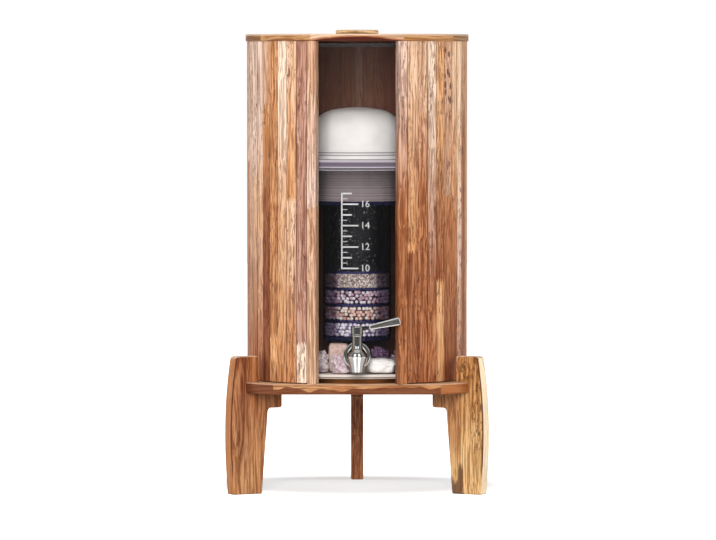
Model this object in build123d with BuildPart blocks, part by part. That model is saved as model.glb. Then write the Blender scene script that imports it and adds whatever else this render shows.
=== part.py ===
from build123d import *
import os
from math import asin, cos, degrees, radians, sin, sqrt, tan

os.makedirs("parts", exist_ok=True)

# ------------------------------------------------------------------ driving sizes, mm and degrees

# Fits
running_fit = 0.05  # radial play of a turning shaft or a screw in its bore
seat_fit = 0.1  # play of a glued or slipped-in piece
slip_fit = 0.4  # play of pieces that are lifted apart by hand
rubber_fit = 0.3  # gap between a rubber washer and the curved glass
cutter_margin = 1.0  # how far a cut reaches past the surface it starts from

# Glass lower tank
tank_radius = 143.0
tank_wall = 4.0
tank_floor = 7.0
tank_height = 324.0
tank_corner = 5.0

# Clear upper vessel, which stands on the tank's rim
vessel_foot = 7.0  # foot ring between the tank's rim and the vessel's floor
vessel_floor = 8.0
vessel_height = 195.0
vessel_rim = 5.4  # thickness of the rim at the top
vessel_rim_overhang = 3.0
skirt_depth = 8.0  # locating skirt inside the tank's rim
skirt_wall = 3.0

# Round wooden casing of upright staves, open at the front
hoop_width = 10.0
hoop_height = 16.0
tank_play = 3.9  # room between the vessel's rim and the hoops
stave_thickness = 12.0
stave_count = 49
stave_bevel = 0.4
glue_line = 0.1
window_width = 118.0  # between the inner edges of the posts beside it
post_share = 0.8  # a post's width as a share of a stave's
stave_lift = 1.7  # the staves hang this far above the stand's board
post_proud = 1.5  # the two posts beside the window stand this far out of the staves
post_round = 1.5
top_hoop_drop = 140.0  # from the lid to the upper hoop, which lies behind the dome
hoop_setback = 6.0  # from the posts' inner edges to the hoops' ends

# Lid
lid_gap = 3.0  # between the vessel's rim and the lid
lid_thickness = 11.0
lid_overhang = 2.5
lid_edge = 1.2
knob_radius = 33.5
knob_thickness = 7.0
knob_edge = 3.0
cleat_count = 3  # from the right side round the back to the left
cleat_width = 10.0
cleat_length = 40.0
cleat_depth = 9.0

# Stand: a round board with straight edges between the three radial legs that grip it
stand_height = 174.0
board_thickness = 16.0
board_margin = 32.0  # the board stands this far out of the casing
board_sides = 3
board_side_setback = 14.0  # its straight edges lie this far inside the casing's radius
board_edge = 1.5
base_disc_thickness = 6.0
base_disc_inset = 7.0
leg_heading = 60.0  # front legs, measured from straight ahead
leg_thickness = 20.0
leg_cover = 27.5  # from the board's edge to the leg's widest point
leg_belly_height = 95.0
leg_top_lean = 10.0
leg_foot_lean = 5.0
leg_rise = 40.5
leg_casing_gap = 9.5
leg_shoulder_width = 67.0
leg_foot_width = 51.0
leg_tab_length = 64.0
leg_tab_depth = 25.0
leg_top_round = 6.0
leg_corner_round = 4.0
leg_edge = 2.4

# Screws
screw_radius = 2.0
screw_head_radius = 4.0
screw_bite = 11.0  # how far a wood screw goes into the second piece
leg_screw_inset = 11.0
hoop_screw_headings = (35.0, 100.0, 145.0, -145.0, -100.0, -35.0)

# Ceramic dome filter
dome_radius = 75.0
dome_height = 66.0
dome_wall = 8.0
dome_crown_radius = 190.0
dome_knuckle_radius = 45.0
dome_base_height = 14.0
dome_base_lip = 2.0
dome_lip_height = 4.7
dome_groove = 1.2
dome_groove_height = 2.0
stem_radius = 10.0
stem_length = 46.0
dome_seal_radius = 30.0
dome_seal_thickness = 1.5
dome_nut_radius = 20.0
dome_nut_height = 9.0

# Filter cartridge
cartridge_radius = 53.0
cartridge_wall = 2.0
cartridge_length = 209.8
head_gap = 1.0  # below the vessel's floor
head_radius = 68.0
head_wall = 4.0
head_height = 57.0
head_thread_pitch = 4.0
head_thread_depth = 1.0
head_web_height = 26.0  # from the bottom of the head to its threaded web
ring_height = 6.0
ring_radius = 65.0
shell_flange = 4.0
cartridge_base_height = 6.0
separator_height = 3.8
ball_bed_height = 21.8
granule_bed_height = 21.6
pore_radius = 2.0
pore_circle_radius = 34.0
outer_pores = 12
inner_pores = 6

# Stones on the tank's floor: heading, gap to the tank's wall, width, height, width of the top
rose_stone = (-25.2, 49.1, 34.0, 46.0, 24.0)
rose_sides = 5
white_stone = (19.5, 4.8, 46.0, 25.0, 28.0)
white_sides = 7
left_amethyst = (-34.3, 16.5, 32.0, 38.0, 14.0)
front_amethyst = (-13.4, 13.3, 36.0, 31.0, 18.0)
back_amethyst = (30.1, 52.3, 30.0, 46.0, 12.0)
right_amethyst = (44.2, 20.6, 36.0, 37.0, 16.0)
amethyst_sides = 6
stone_shoulder = 0.55  # height of a stone's shoulder, as a share of its height
stone_twist = 13.0  # turn from a stone's foot to its shoulder, and on to its top
stone_lean = 3.0  # sideways shift of a stone's top

# Tap
tap_height = 31.0  # shank above the tank's floor
tap_standoff = 32.0  # tap's upright axis in front of the tank
shank_radius = 8.0
flange_radius = 21.0
flange_thickness = 4.0
washer_thickness = 2.0
tap_nut_radius = 14.0
tap_nut_thickness = 8.0
shank_tail = 4.0  # thread beyond the nut
belly_radius = 15.6
spout_radius = 10.0
spout_drop = 24.0
spout_flare = 0.12  # outward slope of the body at the spout's tip
waist_radius = 13.9  # body between the belly and the spout
waist_drop = 9.0
waist_flare = 0.33
shoulder_radius = 12.6  # body between the belly and the neck
shoulder_rise = 7.5
shoulder_slope = 0.8  # inward
spout_bore = 7.5
spout_bore_depth = 11.0
neck_radius = 8.0
neck_base_rise = 16.0
neck_flare = 0.05  # inward slope of the body at the neck's base
neck_top_rise = 31.0
core_radius = 5.5
core_depth = 8.0  # core below the shank's axis
port_radius = 3.2
o_ring_radius = 0.7
valve_stem_radius = 4.0
bonnet_height = 3.5
bonnet_overhang = 0.9
hub_radius = 9.6
hub_height = 12.0
hub_cap = 3.2
hub_screw_radius = 1.5
hub_screw_length = 9.0
lever_tilt = 12.0
lever_reach = 68.0
blade_length = 49.0
blade_inner_height = 7.0
blade_outer_height = 12.4
blade_thickness = 6.0
blade_edge = 1.2
blade_inner_rounding = 3.0
blade_tip_rounding = 4.1
lever_neck_radius = 3.5
lever_spigot_radius = 2.4
lever_spigot_length = 4.0

# ------------------------------------------------------------------ derived places

# Heights above the floor
board_bottom = stand_height - board_thickness
tank_bottom = stand_height + base_disc_thickness
tank_floor_top = tank_bottom + tank_floor
tank_top = tank_bottom + tank_height
vessel_floor_bottom = tank_top + vessel_foot
vessel_floor_top = vessel_floor_bottom + vessel_floor
vessel_top = tank_top + vessel_height
casing_top = vessel_top + lid_gap
casing_height = casing_top - stand_height
lid_top = casing_top + lid_thickness
leg_top = stand_height + leg_rise

# Radii about the filter's axis
tank_inner = tank_radius - tank_wall
hoop_inner = tank_radius + vessel_rim_overhang + tank_play
hoop_outer = hoop_inner + hoop_width
stave_inner = hoop_outer + seat_fit
casing_radius = stave_inner + stave_thickness
board_radius = casing_radius + board_margin
board_side = casing_radius - board_side_setback
leg_reach = board_radius + leg_cover

# The window takes up part of the round, and the staves and two posts share the rest
window_half_angle = degrees(asin(window_width / 2 / stave_inner))
stave_pitch = (360 - 2 * window_half_angle) / (stave_count + 2 * post_share)
post_pitch = post_share * stave_pitch

# Tap
shank_z = tank_floor_top + tap_height
tap_reach = tank_radius + tap_standoff
flange_back = tank_radius + washer_thickness
nut_front = tank_inner - washer_thickness
shank_end = nut_front - tap_nut_thickness - shank_tail
neck_top = shank_z + neck_top_rise
bonnet_top = neck_top + bonnet_height
hub_bottom = bonnet_top + running_fit
hub_top = hub_bottom + hub_height

# The origin lies on the floor, in the middle of the filter's footprint
axis_y = (tap_reach + belly_radius - leg_reach) / 2
ground = Plane(origin=(0, axis_y, 0))
filter_axis = Axis((0, axis_y, 0), (0, 0, 1))
tap_y = axis_y - tap_reach
tap_ground = Plane(origin=(0, tap_y, 0))
tap_axis = Axis((0, tap_y, 0), (0, 0, 1))
tap_section = Plane(origin=(0, tap_y, 0), x_dir=(1, 0, 0), z_dir=(0, -1, 0))
shank_plane = Plane(origin=(0, axis_y, shank_z), x_dir=(1, 0, 0), z_dir=(0, -1, 0))


# ------------------------------------------------------------------ shared shapes


def upright(heading):
    """The upright half plane from the filter's axis towards a heading, 0 being straight ahead."""
    turn = radians(heading)
    return Plane(
        origin=(0, axis_y, 0), x_dir=(sin(turn), -cos(turn), 0), z_dir=(-cos(turn), -sin(turn), 0)
    )


def spot(heading, radius):
    """The place at a radius and heading, in the coordinates of a level plane."""
    turn = radians(heading)
    return (radius * sin(turn), -radius * cos(turn))


side_section = upright(90)


def ring(inner, outer, bottom, top):
    """A plain ring about the filter's axis."""
    with BuildPart() as piece:
        with BuildSketch(ground.offset(bottom)):
            Circle(outer)
            Circle(inner, mode=Mode.SUBTRACT)
        extrude(amount=top - bottom)
    return piece


def turned(*corners):
    """A solid turned about the filter's axis, from the radius and height of its corners."""
    with BuildPart() as piece:
        with BuildSketch(side_section):
            with BuildLine():
                Polyline(*corners, close=True)
            make_face()
        revolve(axis=filter_axis)
    return piece


def bed(bottom, top):
    """A filling inside the cartridge's shell."""
    with BuildPart() as piece:
        with BuildSketch(ground.offset(bottom)):
            Circle(cartridge_radius - cartridge_wall - seat_fit)
        extrude(amount=top - bottom)
    return piece


def screws(places, bottom, length, play=0.0):
    """Countersunk screws that point up, heads flush at the bottom; with a play, their holes."""
    sink = screw_head_radius - screw_radius
    with BuildPart() as group:
        with BuildSketch(ground.offset(bottom)):
            with Locations(*places):
                Circle(screw_radius + play)
        extrude(amount=length)
        for place in places:
            with BuildSketch(ground.offset(bottom)):
                with Locations(place):
                    Circle(screw_head_radius + play)
            with BuildSketch(ground.offset(bottom + sink)):
                with Locations(place):
                    Circle(screw_radius + play)
            loft()
    return group


# ------------------------------------------------------------------ stand

leg_headings = {"leg_left": -leg_heading, "leg_right": leg_heading, "leg_rear": 180.0}
tab_inner = board_radius - leg_tab_length
tab_bottom = board_bottom - leg_tab_depth
leg_screw_places = [spot(heading, tab_inner + leg_screw_inset) for heading in leg_headings.values()]
leg_screw_length = leg_tab_depth + screw_bite
hoop_middle = (hoop_inner + hoop_outer) / 2
hoop_screw_places = [spot(heading, hoop_middle) for heading in hoop_screw_headings]
hoop_screw_length = board_thickness + screw_bite

# Board with a straight edge at the front and one at each side towards the back
hoop_screw_ways = screws(hoop_screw_places, board_bottom, board_thickness, running_fit)
with BuildPart() as stand_board:
    with BuildSketch(ground.offset(board_bottom)):
        Circle(board_radius)
        with PolarLocations(board_side, board_sides, -90):
            Rectangle(
                board_radius, 2 * board_radius, align=(Align.MIN, Align.CENTER), mode=Mode.SUBTRACT
            )
    extrude(amount=board_thickness)
    rims = stand_board.faces().sort_by(Axis.Z)
    fillet(rims[0].edges() + rims[-1].edges(), board_edge)
    add(hoop_screw_ways.part, mode=Mode.SUBTRACT)
    with BuildSketch(ground.offset(board_bottom)):
        with Locations(*leg_screw_places):
            Circle(screw_radius + running_fit)
    extrude(amount=screw_bite, mode=Mode.SUBTRACT)


def leg(heading):
    """A radial leg: foot, tab under the board, notch for the board's edge, horn above it."""
    inner_top = casing_radius + leg_casing_gap
    notch_end = board_radius + seat_fit
    outer_top = leg_reach - leg_top_lean
    outer_foot = leg_reach - leg_foot_lean
    screw_way = screws([spot(heading, tab_inner + leg_screw_inset)], tab_bottom, leg_tab_depth, running_fit)
    with BuildPart() as piece:
        with BuildSketch(upright(heading)) as side:
            with BuildLine():
                upper = TangentArc(
                    (leg_reach, leg_belly_height), (outer_top, leg_top), tangent=(0, 1)
                )
                Polyline(
                    upper @ 1,
                    (inner_top, leg_top),
                    (inner_top, stand_height + seat_fit),
                    (notch_end, stand_height + seat_fit),
                    (notch_end, board_bottom),
                    (tab_inner, board_bottom),
                    (tab_inner, tab_bottom),
                    (leg_reach - leg_shoulder_width, tab_bottom),
                    (outer_foot - leg_foot_width, 0),
                    (outer_foot, 0),
                )
                TangentArc(
                    (leg_reach, leg_belly_height), (outer_foot, 0), tangent=(0, -1)
                )
            make_face()
            for corner, rounding in (
                ((outer_top, leg_top), leg_top_round),
                ((inner_top, leg_top), leg_corner_round),
                ((tab_inner, tab_bottom), leg_corner_round),
                ((leg_reach - leg_shoulder_width, tab_bottom), leg_top_round),
                ((outer_foot, 0), leg_edge),
                ((outer_foot - leg_foot_width, 0), leg_edge),
            ):
                fillet(side.vertices().sort_by_distance(Vector(*corner))[0], rounding)
        extrude(amount=leg_thickness / 2, both=True)
        broad = piece.faces().sort_by(SortBy.AREA)[-2:]
        notch = [
            edge
            for edge in broad[0].edges() + broad[1].edges()
            if board_bottom - leg_edge < edge.center().Z < stand_height + leg_edge
            and Vector(edge.center().X, edge.center().Y - axis_y).length < notch_end + leg_edge
        ]
        fillet([edge for edge in broad[0].edges() + broad[1].edges() if edge not in notch], leg_edge)
        add(screw_way.part, mode=Mode.SUBTRACT)
    return piece


legs = {name: leg(heading) for name, heading in leg_headings.items()}
leg_screws = screws(leg_screw_places, tab_bottom, leg_screw_length)
casing_screws = screws(hoop_screw_places, board_bottom, hoop_screw_length)

# ------------------------------------------------------------------ casing


def stave_profile(inner, outer, pitch):
    """A stave's level section about its middle radius: x points outwards."""
    half_turn = radians(pitch / 2)
    half_depth = (outer - inner) / 2
    inner_half = inner * tan(half_turn) - glue_line / 2
    outer_half = outer * tan(half_turn) - glue_line / 2
    return [
        (-half_depth, -inner_half),
        (half_depth, -outer_half),
        (half_depth, outer_half),
        (-half_depth, inner_half),
    ]


def staves(first, count):
    """Neighbouring staves, numbered round the casing from 0 beside the post right of the window."""
    start = -90 + window_half_angle + post_pitch + stave_pitch * (first + 0.5)
    with BuildPart() as panel:
        with BuildSketch(ground.offset(stand_height + stave_lift)) as outlines:
            with PolarLocations(
                (stave_inner + casing_radius) / 2, count, start, stave_pitch * (count - 1), endpoint=True
            ):
                Polygon(*stave_profile(stave_inner, casing_radius, stave_pitch), align=None)
            corners = outlines.vertices().filter_by(
                lambda corner: Vector(corner.X, corner.Y).length > casing_radius - stave_bevel
            )
            chamfer(corners, stave_bevel)
        extrude(amount=casing_height - stave_lift)
    return panel


def post(side):
    """The post beside the window, which stands on the board and a little proud of the staves."""
    middle = -90 + side * (window_half_angle + post_pitch / 2)
    outer = casing_radius + post_proud
    with BuildPart() as piece:
        with BuildSketch(ground.offset(stand_height)) as outline:
            with PolarLocations((stave_inner + outer) / 2, 1, middle):
                Polygon(*stave_profile(stave_inner, outer, post_pitch), align=None)
            corners = outline.vertices().filter_by(
                lambda corner: Vector(corner.X, corner.Y).length > casing_radius
            )
            fillet(corners, post_round)
        extrude(amount=casing_height)
    return piece


def hoop(bottom):
    """An open hoop inside the staves, from one post round the back to the other."""
    end_angle = window_half_angle + degrees(hoop_setback / hoop_outer)
    outside = [(0, 0), spot(-end_angle, 2 * hoop_outer), spot(end_angle, 2 * hoop_outer)]
    with BuildPart() as piece:
        with BuildSketch(ground.offset(bottom)):
            Circle(hoop_outer)
            Circle(hoop_inner, mode=Mode.SUBTRACT)
            Polygon(*outside, align=None, mode=Mode.SUBTRACT)
        extrude(amount=hoop_height)
    return piece


side_count = stave_count // 3
rear_count = stave_count - 2 * side_count
staves_right = staves(0, side_count)
staves_rear = staves(side_count, rear_count)
staves_left = staves(side_count + rear_count, side_count)
post_right = post(1)
post_left = post(-1)
top_hoop = hoop(casing_top - top_hoop_drop - hoop_height)
undrilled_hoop = hoop(stand_height)
with BuildPart() as bottom_hoop:
    add(undrilled_hoop.part)
    with BuildSketch(ground.offset(stand_height)):
        with Locations(*hoop_screw_places):
            Circle(screw_radius + running_fit)
    extrude(amount=screw_bite, mode=Mode.SUBTRACT)

# ------------------------------------------------------------------ lid

lid_radius = casing_radius + lid_overhang
knob_screw_length = lid_thickness + knob_thickness / 2

knob_screw = screws([(0, 0)], casing_top, knob_screw_length)
knob_screw_way = screws([(0, 0)], casing_top, lid_thickness, running_fit)
with BuildPart() as lid_board:
    with BuildSketch(ground.offset(casing_top)):
        Circle(lid_radius)
    extrude(amount=lid_thickness)
    fillet(lid_board.edges().filter_by(GeomType.CIRCLE), lid_edge)
    add(knob_screw_way.part, mode=Mode.SUBTRACT)

with BuildPart() as lid_knob:
    with BuildSketch(ground.offset(lid_top)):
        Circle(knob_radius)
    extrude(amount=knob_thickness)
    fillet(lid_knob.edges().filter_by(GeomType.CIRCLE), knob_edge)
    with BuildSketch(ground.offset(lid_top)):
        Circle(screw_radius + running_fit)
    extrude(amount=knob_screw_length - lid_thickness + running_fit, mode=Mode.SUBTRACT)

# Three cleats keep the lid in the middle of the staves, clear of the vessel's rim
with BuildPart() as lid_cleats:
    with BuildSketch(ground.offset(casing_top - cleat_depth)):
        with PolarLocations(stave_inner - slip_fit - cleat_width, cleat_count, 0, 180, endpoint=True):
            Rectangle(cleat_width, cleat_length, align=(Align.MIN, Align.CENTER))
        Circle(stave_inner - slip_fit, mode=Mode.INTERSECT)
    extrude(amount=cleat_depth)

# ------------------------------------------------------------------ tank and vessel

# Wooden disc that carries the tank
with BuildPart() as base_disc:
    with BuildSketch(ground.offset(stand_height)):
        Circle(tank_radius - base_disc_inset)
    extrude(amount=base_disc_thickness)

# Glass tank: a cup with rounded corners and a hole for the tap
with BuildPart() as lower_tank:
    with BuildSketch(ground.offset(tank_bottom)):
        Circle(tank_radius)
    extrude(amount=tank_height)
    fillet(lower_tank.faces().sort_by(Axis.Z)[0].edges(), tank_corner)
    with BuildSketch(ground.offset(tank_floor_top)):
        Circle(tank_inner)
    extrude(amount=tank_height, mode=Mode.SUBTRACT)
    fillet(lower_tank.faces().sort_by(Axis.Z)[-1].edges(), tank_wall / 4)
    with BuildSketch(shank_plane.offset(tank_radius - 3 * tank_wall)):
        Circle(shank_radius + slip_fit / 2)
    extrude(amount=4 * tank_wall, mode=Mode.SUBTRACT)

# Clear vessel: foot ring, floor, wall and rim, with a skirt that locates it in the tank
skirt_outer = tank_inner - slip_fit
skirt_inner = skirt_outer - skirt_wall
rim_radius = tank_radius + vessel_rim_overhang
upper_vessel = turned(
    (stem_radius + seat_fit, vessel_floor_bottom),
    (skirt_inner, vessel_floor_bottom),
    (skirt_inner, tank_top - skirt_depth),
    (skirt_outer, tank_top - skirt_depth),
    (skirt_outer, tank_top),
    (tank_radius, tank_top),
    (tank_radius, vessel_top - vessel_rim),
    (rim_radius, vessel_top - vessel_rim),
    (rim_radius, vessel_top),
    (tank_inner, vessel_top),
    (tank_inner, vessel_floor_top),
    (stem_radius + seat_fit, vessel_floor_top),
)

# ------------------------------------------------------------------ dome filter

dome_bottom = vessel_floor_top + dome_base_height
dome_top = dome_bottom + dome_height


def dome_outline(inset):
    """Half section of the dome, inset by a wall: upright side, knuckle and shallow crown."""
    side = dome_radius - inset
    knuckle = dome_knuckle_radius - inset
    crown = dome_crown_radius - inset
    reach = dome_crown_radius - dome_knuckle_radius
    run = dome_radius - dome_knuckle_radius
    crown_centre = dome_top - dome_crown_radius
    knuckle_centre = crown_centre + sqrt(reach**2 - run**2)
    meeting = (crown * run / reach, crown_centre + crown * sqrt(1 - (run / reach) ** 2))
    with BuildLine() as outline:
        Line((0, dome_bottom), (side, dome_bottom))
        Line((side, dome_bottom), (side, knuckle_centre))
        RadiusArc((side, knuckle_centre), meeting, -knuckle)
        RadiusArc(meeting, (0, crown_centre + crown), -crown)
        Line((0, crown_centre + crown), (0, dome_bottom))
    return outline


dome_outside = dome_outline(0)
dome_inside = dome_outline(dome_wall)
with BuildPart() as ceramic_dome:
    with BuildSketch(side_section):
        add(dome_outside.line)
        make_face()
    revolve(axis=filter_axis)
    with BuildSketch(side_section):
        add(dome_inside.line)
        make_face()
    revolve(axis=filter_axis, mode=Mode.SUBTRACT)

# Collar of the dome: a lip on the vessel's floor, two grooves, and the hollow threaded stem
seal_recess = dome_seal_radius + seat_fit
collar = dome_radius
lip_top = vessel_floor_top + dome_lip_height
first_land = lip_top + dome_groove_height
second_groove = first_land + dome_groove_height
second_land = second_groove + dome_groove_height
stem_bottom = vessel_floor_top - stem_length
dome_base = turned(
    (stem_radius / 2, stem_bottom),
    (stem_radius, stem_bottom),
    (stem_radius, vessel_floor_top + dome_seal_thickness),
    (seal_recess, vessel_floor_top + dome_seal_thickness),
    (seal_recess, vessel_floor_top),
    (collar + dome_base_lip, vessel_floor_top),
    (collar + dome_base_lip, lip_top),
    (collar - dome_groove, lip_top),
    (collar - dome_groove, first_land),
    (collar, first_land),
    (collar, second_groove),
    (collar - dome_groove, second_groove),
    (collar - dome_groove, second_land),
    (collar, second_land),
    (collar, dome_bottom),
    (stem_radius / 2, dome_bottom),
)

dome_seal = ring(
    stem_radius + running_fit, dome_seal_radius, vessel_floor_top, vessel_floor_top + dome_seal_thickness
)

with BuildPart() as dome_nut:
    with BuildSketch(ground.offset(vessel_floor_bottom - dome_nut_height)):
        RegularPolygon(dome_nut_radius, 6)
        Circle(stem_radius + running_fit, mode=Mode.SUBTRACT)
    extrude(amount=dome_nut_height)

# ------------------------------------------------------------------ filter cartridge

head_top = vessel_floor_bottom - head_gap
head_bottom = head_top - head_height
ring_bottom = head_bottom - ring_height
cartridge_bottom = ring_bottom - cartridge_length + shell_flange
cartridge_inner = cartridge_radius - cartridge_wall
web_bottom = head_bottom + head_web_height
web_top = web_bottom + head_wall

# Clear threaded head, which screws onto the dome's stem below the nut
thread_count = int(head_height // head_thread_pitch)
with BuildPart() as cartridge_head:
    with BuildSketch(ground.offset(head_bottom)):
        Circle(head_radius)
    extrude(amount=head_height)
    with BuildSketch(ground.offset(head_bottom)):
        Circle(head_radius - head_wall)
    extrude(amount=web_bottom - head_bottom, mode=Mode.SUBTRACT)
    with BuildSketch(ground.offset(web_top)):
        Circle(head_radius - head_wall)
    extrude(amount=head_top - web_top, mode=Mode.SUBTRACT)
    with BuildSketch(ground.offset(web_bottom)):
        Circle(stem_radius + running_fit)
    extrude(amount=head_wall, mode=Mode.SUBTRACT)
    for turn in range(thread_count):
        with BuildSketch(ground.offset(head_bottom + (turn + 0.5) * head_thread_pitch)):
            Circle(head_radius + cutter_margin)
            Circle(head_radius - head_thread_depth, mode=Mode.SUBTRACT)
        extrude(amount=head_thread_pitch / 2, mode=Mode.SUBTRACT)

# Dark ring that screws the shell's flange to the head
shell_flange_radius = head_radius - head_wall - slip_fit
cartridge_ring = ring(cartridge_radius + seat_fit, ring_radius, ring_bottom, head_bottom)

# Clear shell with a flange that rests on the ring
cartridge_shell = turned(
    (cartridge_inner, cartridge_bottom),
    (cartridge_radius, cartridge_bottom),
    (cartridge_radius, head_bottom),
    (shell_flange_radius, head_bottom),
    (shell_flange_radius, head_bottom + shell_flange),
    (cartridge_inner, head_bottom + shell_flange),
)


def perforated(bottom, height, radius):
    """A disc with a circle of pores, inside the shell or closing its end."""
    with BuildPart() as piece:
        with BuildSketch(ground.offset(bottom)):
            Circle(radius)
            with PolarLocations(pore_circle_radius, outer_pores):
                Circle(pore_radius, mode=Mode.SUBTRACT)
            with PolarLocations(pore_circle_radius / 2, inner_pores):
                Circle(pore_radius, mode=Mode.SUBTRACT)
        extrude(amount=height)
    return piece


cartridge_base = perforated(
    cartridge_bottom - cartridge_base_height, cartridge_base_height, cartridge_radius
)

# Three beds of ceramic balls, one of granules and one of carbon, with a separator on each
level = cartridge_bottom
beds = {}
separators = []
for name, height in (
    ("ball_bed_lower", ball_bed_height),
    ("ball_bed_middle", ball_bed_height),
    ("ball_bed_upper", ball_bed_height),
    ("granule_bed", granule_bed_height),
):
    beds[name] = bed(level, level + height)
    separators.append(perforated(level + height, separator_height, cartridge_inner - seat_fit))
    level += height + separator_height
beds["carbon_bed"] = bed(level, ring_bottom)
with BuildPart() as cartridge_separators:
    for separator in separators:
        add(separator.part)

# ------------------------------------------------------------------ stones on the tank's floor


def stone(sides, heading, wall_gap, width, height, top_width):
    """A faceted lump: a twisted polygon on the tank's floor, drawn in above its shoulder."""
    right, ahead = spot(heading, tank_inner - wall_gap - width / 2)
    lean = stone_lean if heading < 0 else -stone_lean
    levels = (
        (0, 0, width),
        (stone_shoulder, stone_twist, width),
        (1, 2 * stone_twist, top_width),
    )
    with BuildPart() as lump:
        for share, turn, across in levels:
            with BuildSketch(ground.offset(tank_floor_top + height * share)):
                with Locations((right + lean * share, ahead)):
                    RegularPolygon(across / 2, sides, rotation=turn)
        loft(ruled=True)
    return lump


rose_quartz = stone(rose_sides, *rose_stone)
white_quartz = stone(white_sides, *white_stone)
amethyst_lumps = [
    stone(amethyst_sides, *sizes)
    for sizes in (left_amethyst, front_amethyst, back_amethyst, right_amethyst)
]
with BuildPart() as amethysts:
    for lump in amethyst_lumps:
        add(lump.part)

# ------------------------------------------------------------------ tap

spout_tip = shank_z - spout_drop
core_bottom = shank_z - core_depth
neck_base = shank_z + neck_base_rise

# Pear-shaped body on a threaded shank, drilled for the water and for the valve's core
with BuildPart() as tap_body:
    with BuildSketch(tap_section):
        with BuildLine():
            Line((0, spout_tip), (spout_radius, spout_tip))
            Spline(
                (spout_radius, spout_tip),
                (waist_radius, shank_z - waist_drop),
                (belly_radius, shank_z),
                (shoulder_radius, shank_z + shoulder_rise),
                (neck_radius, neck_base),
                tangents=[
                    (spout_flare, 1),
                    (waist_flare, 1),
                    (0, 1),
                    (-shoulder_slope, 1),
                    (-neck_flare, 1),
                ],
            )
            Polyline((neck_radius, neck_base), (neck_radius, neck_top), (0, neck_top), (0, spout_tip))
        make_face()
    revolve(axis=tap_axis)
    with BuildSketch(shank_plane.offset(shank_end)):
        Circle(shank_radius)
    extrude(amount=tap_reach - shank_end)
    with BuildSketch(tap_ground.offset(spout_tip)):
        Circle(spout_bore)
    extrude(amount=spout_bore_depth, mode=Mode.SUBTRACT)
    with BuildSketch(tap_ground.offset(spout_tip + spout_bore_depth)):
        Circle(port_radius)
    extrude(amount=core_bottom - spout_tip - spout_bore_depth, mode=Mode.SUBTRACT)
    with BuildSketch(tap_ground.offset(core_bottom)):
        Circle(core_radius + running_fit)
    extrude(amount=neck_top - core_bottom, mode=Mode.SUBTRACT)
    with BuildSketch(shank_plane.offset(shank_end)):
        Circle(port_radius)
    extrude(amount=tap_reach - shank_end, mode=Mode.SUBTRACT)

# Round cover plate against the washer outside the glass
with BuildPart() as tap_flange:
    with BuildSketch(shank_plane.offset(flange_back)):
        Circle(flange_radius)
    extrude(amount=flange_thickness)
    fillet(tap_flange.faces().sort_by(Axis.Y)[0].edges(), flange_thickness / 3)
    with BuildSketch(shank_plane.offset(flange_back)):
        Circle(shank_radius + running_fit)
    extrude(amount=flange_thickness, mode=Mode.SUBTRACT)

# Rubber washers shaped to the round wall of the tank
washer_radius = flange_radius - washer_thickness
wall_curve = tank_radius - sqrt(tank_radius**2 - washer_radius**2)
with BuildPart() as outer_washer:
    with BuildSketch(shank_plane.offset(tank_radius - wall_curve)):
        Circle(washer_radius)
        Circle(shank_radius + running_fit, mode=Mode.SUBTRACT)
    extrude(amount=washer_thickness + wall_curve)
    with BuildSketch(ground.offset(tank_bottom)):
        Circle(tank_radius + rubber_fit)
    extrude(amount=tank_height, mode=Mode.SUBTRACT)

with BuildPart() as inner_washer:
    with BuildSketch(shank_plane.offset(nut_front)):
        Circle(tap_nut_radius + washer_thickness)
        Circle(shank_radius + running_fit, mode=Mode.SUBTRACT)
    extrude(amount=washer_thickness)
    with BuildSketch(ground.offset(tank_bottom)):
        Circle(tank_inner - rubber_fit)
    extrude(amount=tank_height, mode=Mode.INTERSECT)

with BuildPart() as tap_nut:
    with BuildSketch(shank_plane.offset(nut_front - tap_nut_thickness)):
        RegularPolygon(tap_nut_radius, 6)
        Circle(shank_radius + running_fit, mode=Mode.SUBTRACT)
    extrude(amount=tap_nut_thickness)

# Valve core: its water way turns from below to one side, away from the lever
stem_top = hub_top - hub_cap
core_top = neck_top - running_fit
o_ring_groove = 2 * o_ring_radius
o_ring_heights = (neck_base, neck_top - core_radius)
with BuildPart() as valve_core:
    with BuildSketch(tap_ground.offset(core_bottom + running_fit)):
        Circle(core_radius)
    extrude(amount=core_top - core_bottom - running_fit)
    with BuildSketch(tap_ground.offset(core_top)):
        Circle(valve_stem_radius)
    extrude(amount=stem_top - core_top)
    with BuildSketch(tap_ground.offset(core_bottom + running_fit)):
        Circle(port_radius)
    extrude(amount=shank_z + port_radius - core_bottom, mode=Mode.SUBTRACT)
    with BuildSketch(Plane(origin=(0, tap_y, shank_z), z_dir=(-1, 0, 0))):
        Circle(port_radius)
    extrude(amount=2 * core_radius, mode=Mode.SUBTRACT)
    for height in o_ring_heights:
        with BuildSketch(tap_ground.offset(height - o_ring_groove / 2 - running_fit)):
            Circle(core_radius + cutter_margin)
            Circle(core_radius - o_ring_groove, mode=Mode.SUBTRACT)
        extrude(amount=o_ring_groove + 2 * running_fit, mode=Mode.SUBTRACT)
    with BuildSketch(tap_ground.offset(hub_top - hub_screw_length)):
        Circle(hub_screw_radius + running_fit)
    extrude(amount=hub_screw_length, mode=Mode.SUBTRACT)

with BuildPart() as valve_o_rings:
    with BuildSketch(tap_section):
        with Locations(*[(core_radius - o_ring_radius, height) for height in o_ring_heights]):
            Circle(o_ring_radius - running_fit / 2)
    revolve(axis=tap_axis)

# Chrome ring that keeps the core in the body
with BuildPart() as bonnet_ring:
    with BuildSketch(tap_ground.offset(neck_top)):
        Circle(neck_radius + bonnet_overhang)
    extrude(amount=bonnet_height)
    fillet(bonnet_ring.edges().filter_by(GeomType.CIRCLE), bonnet_overhang)
    with BuildSketch(tap_ground.offset(neck_top)):
        Circle(valve_stem_radius + running_fit)
    extrude(amount=bonnet_height, mode=Mode.SUBTRACT)

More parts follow.
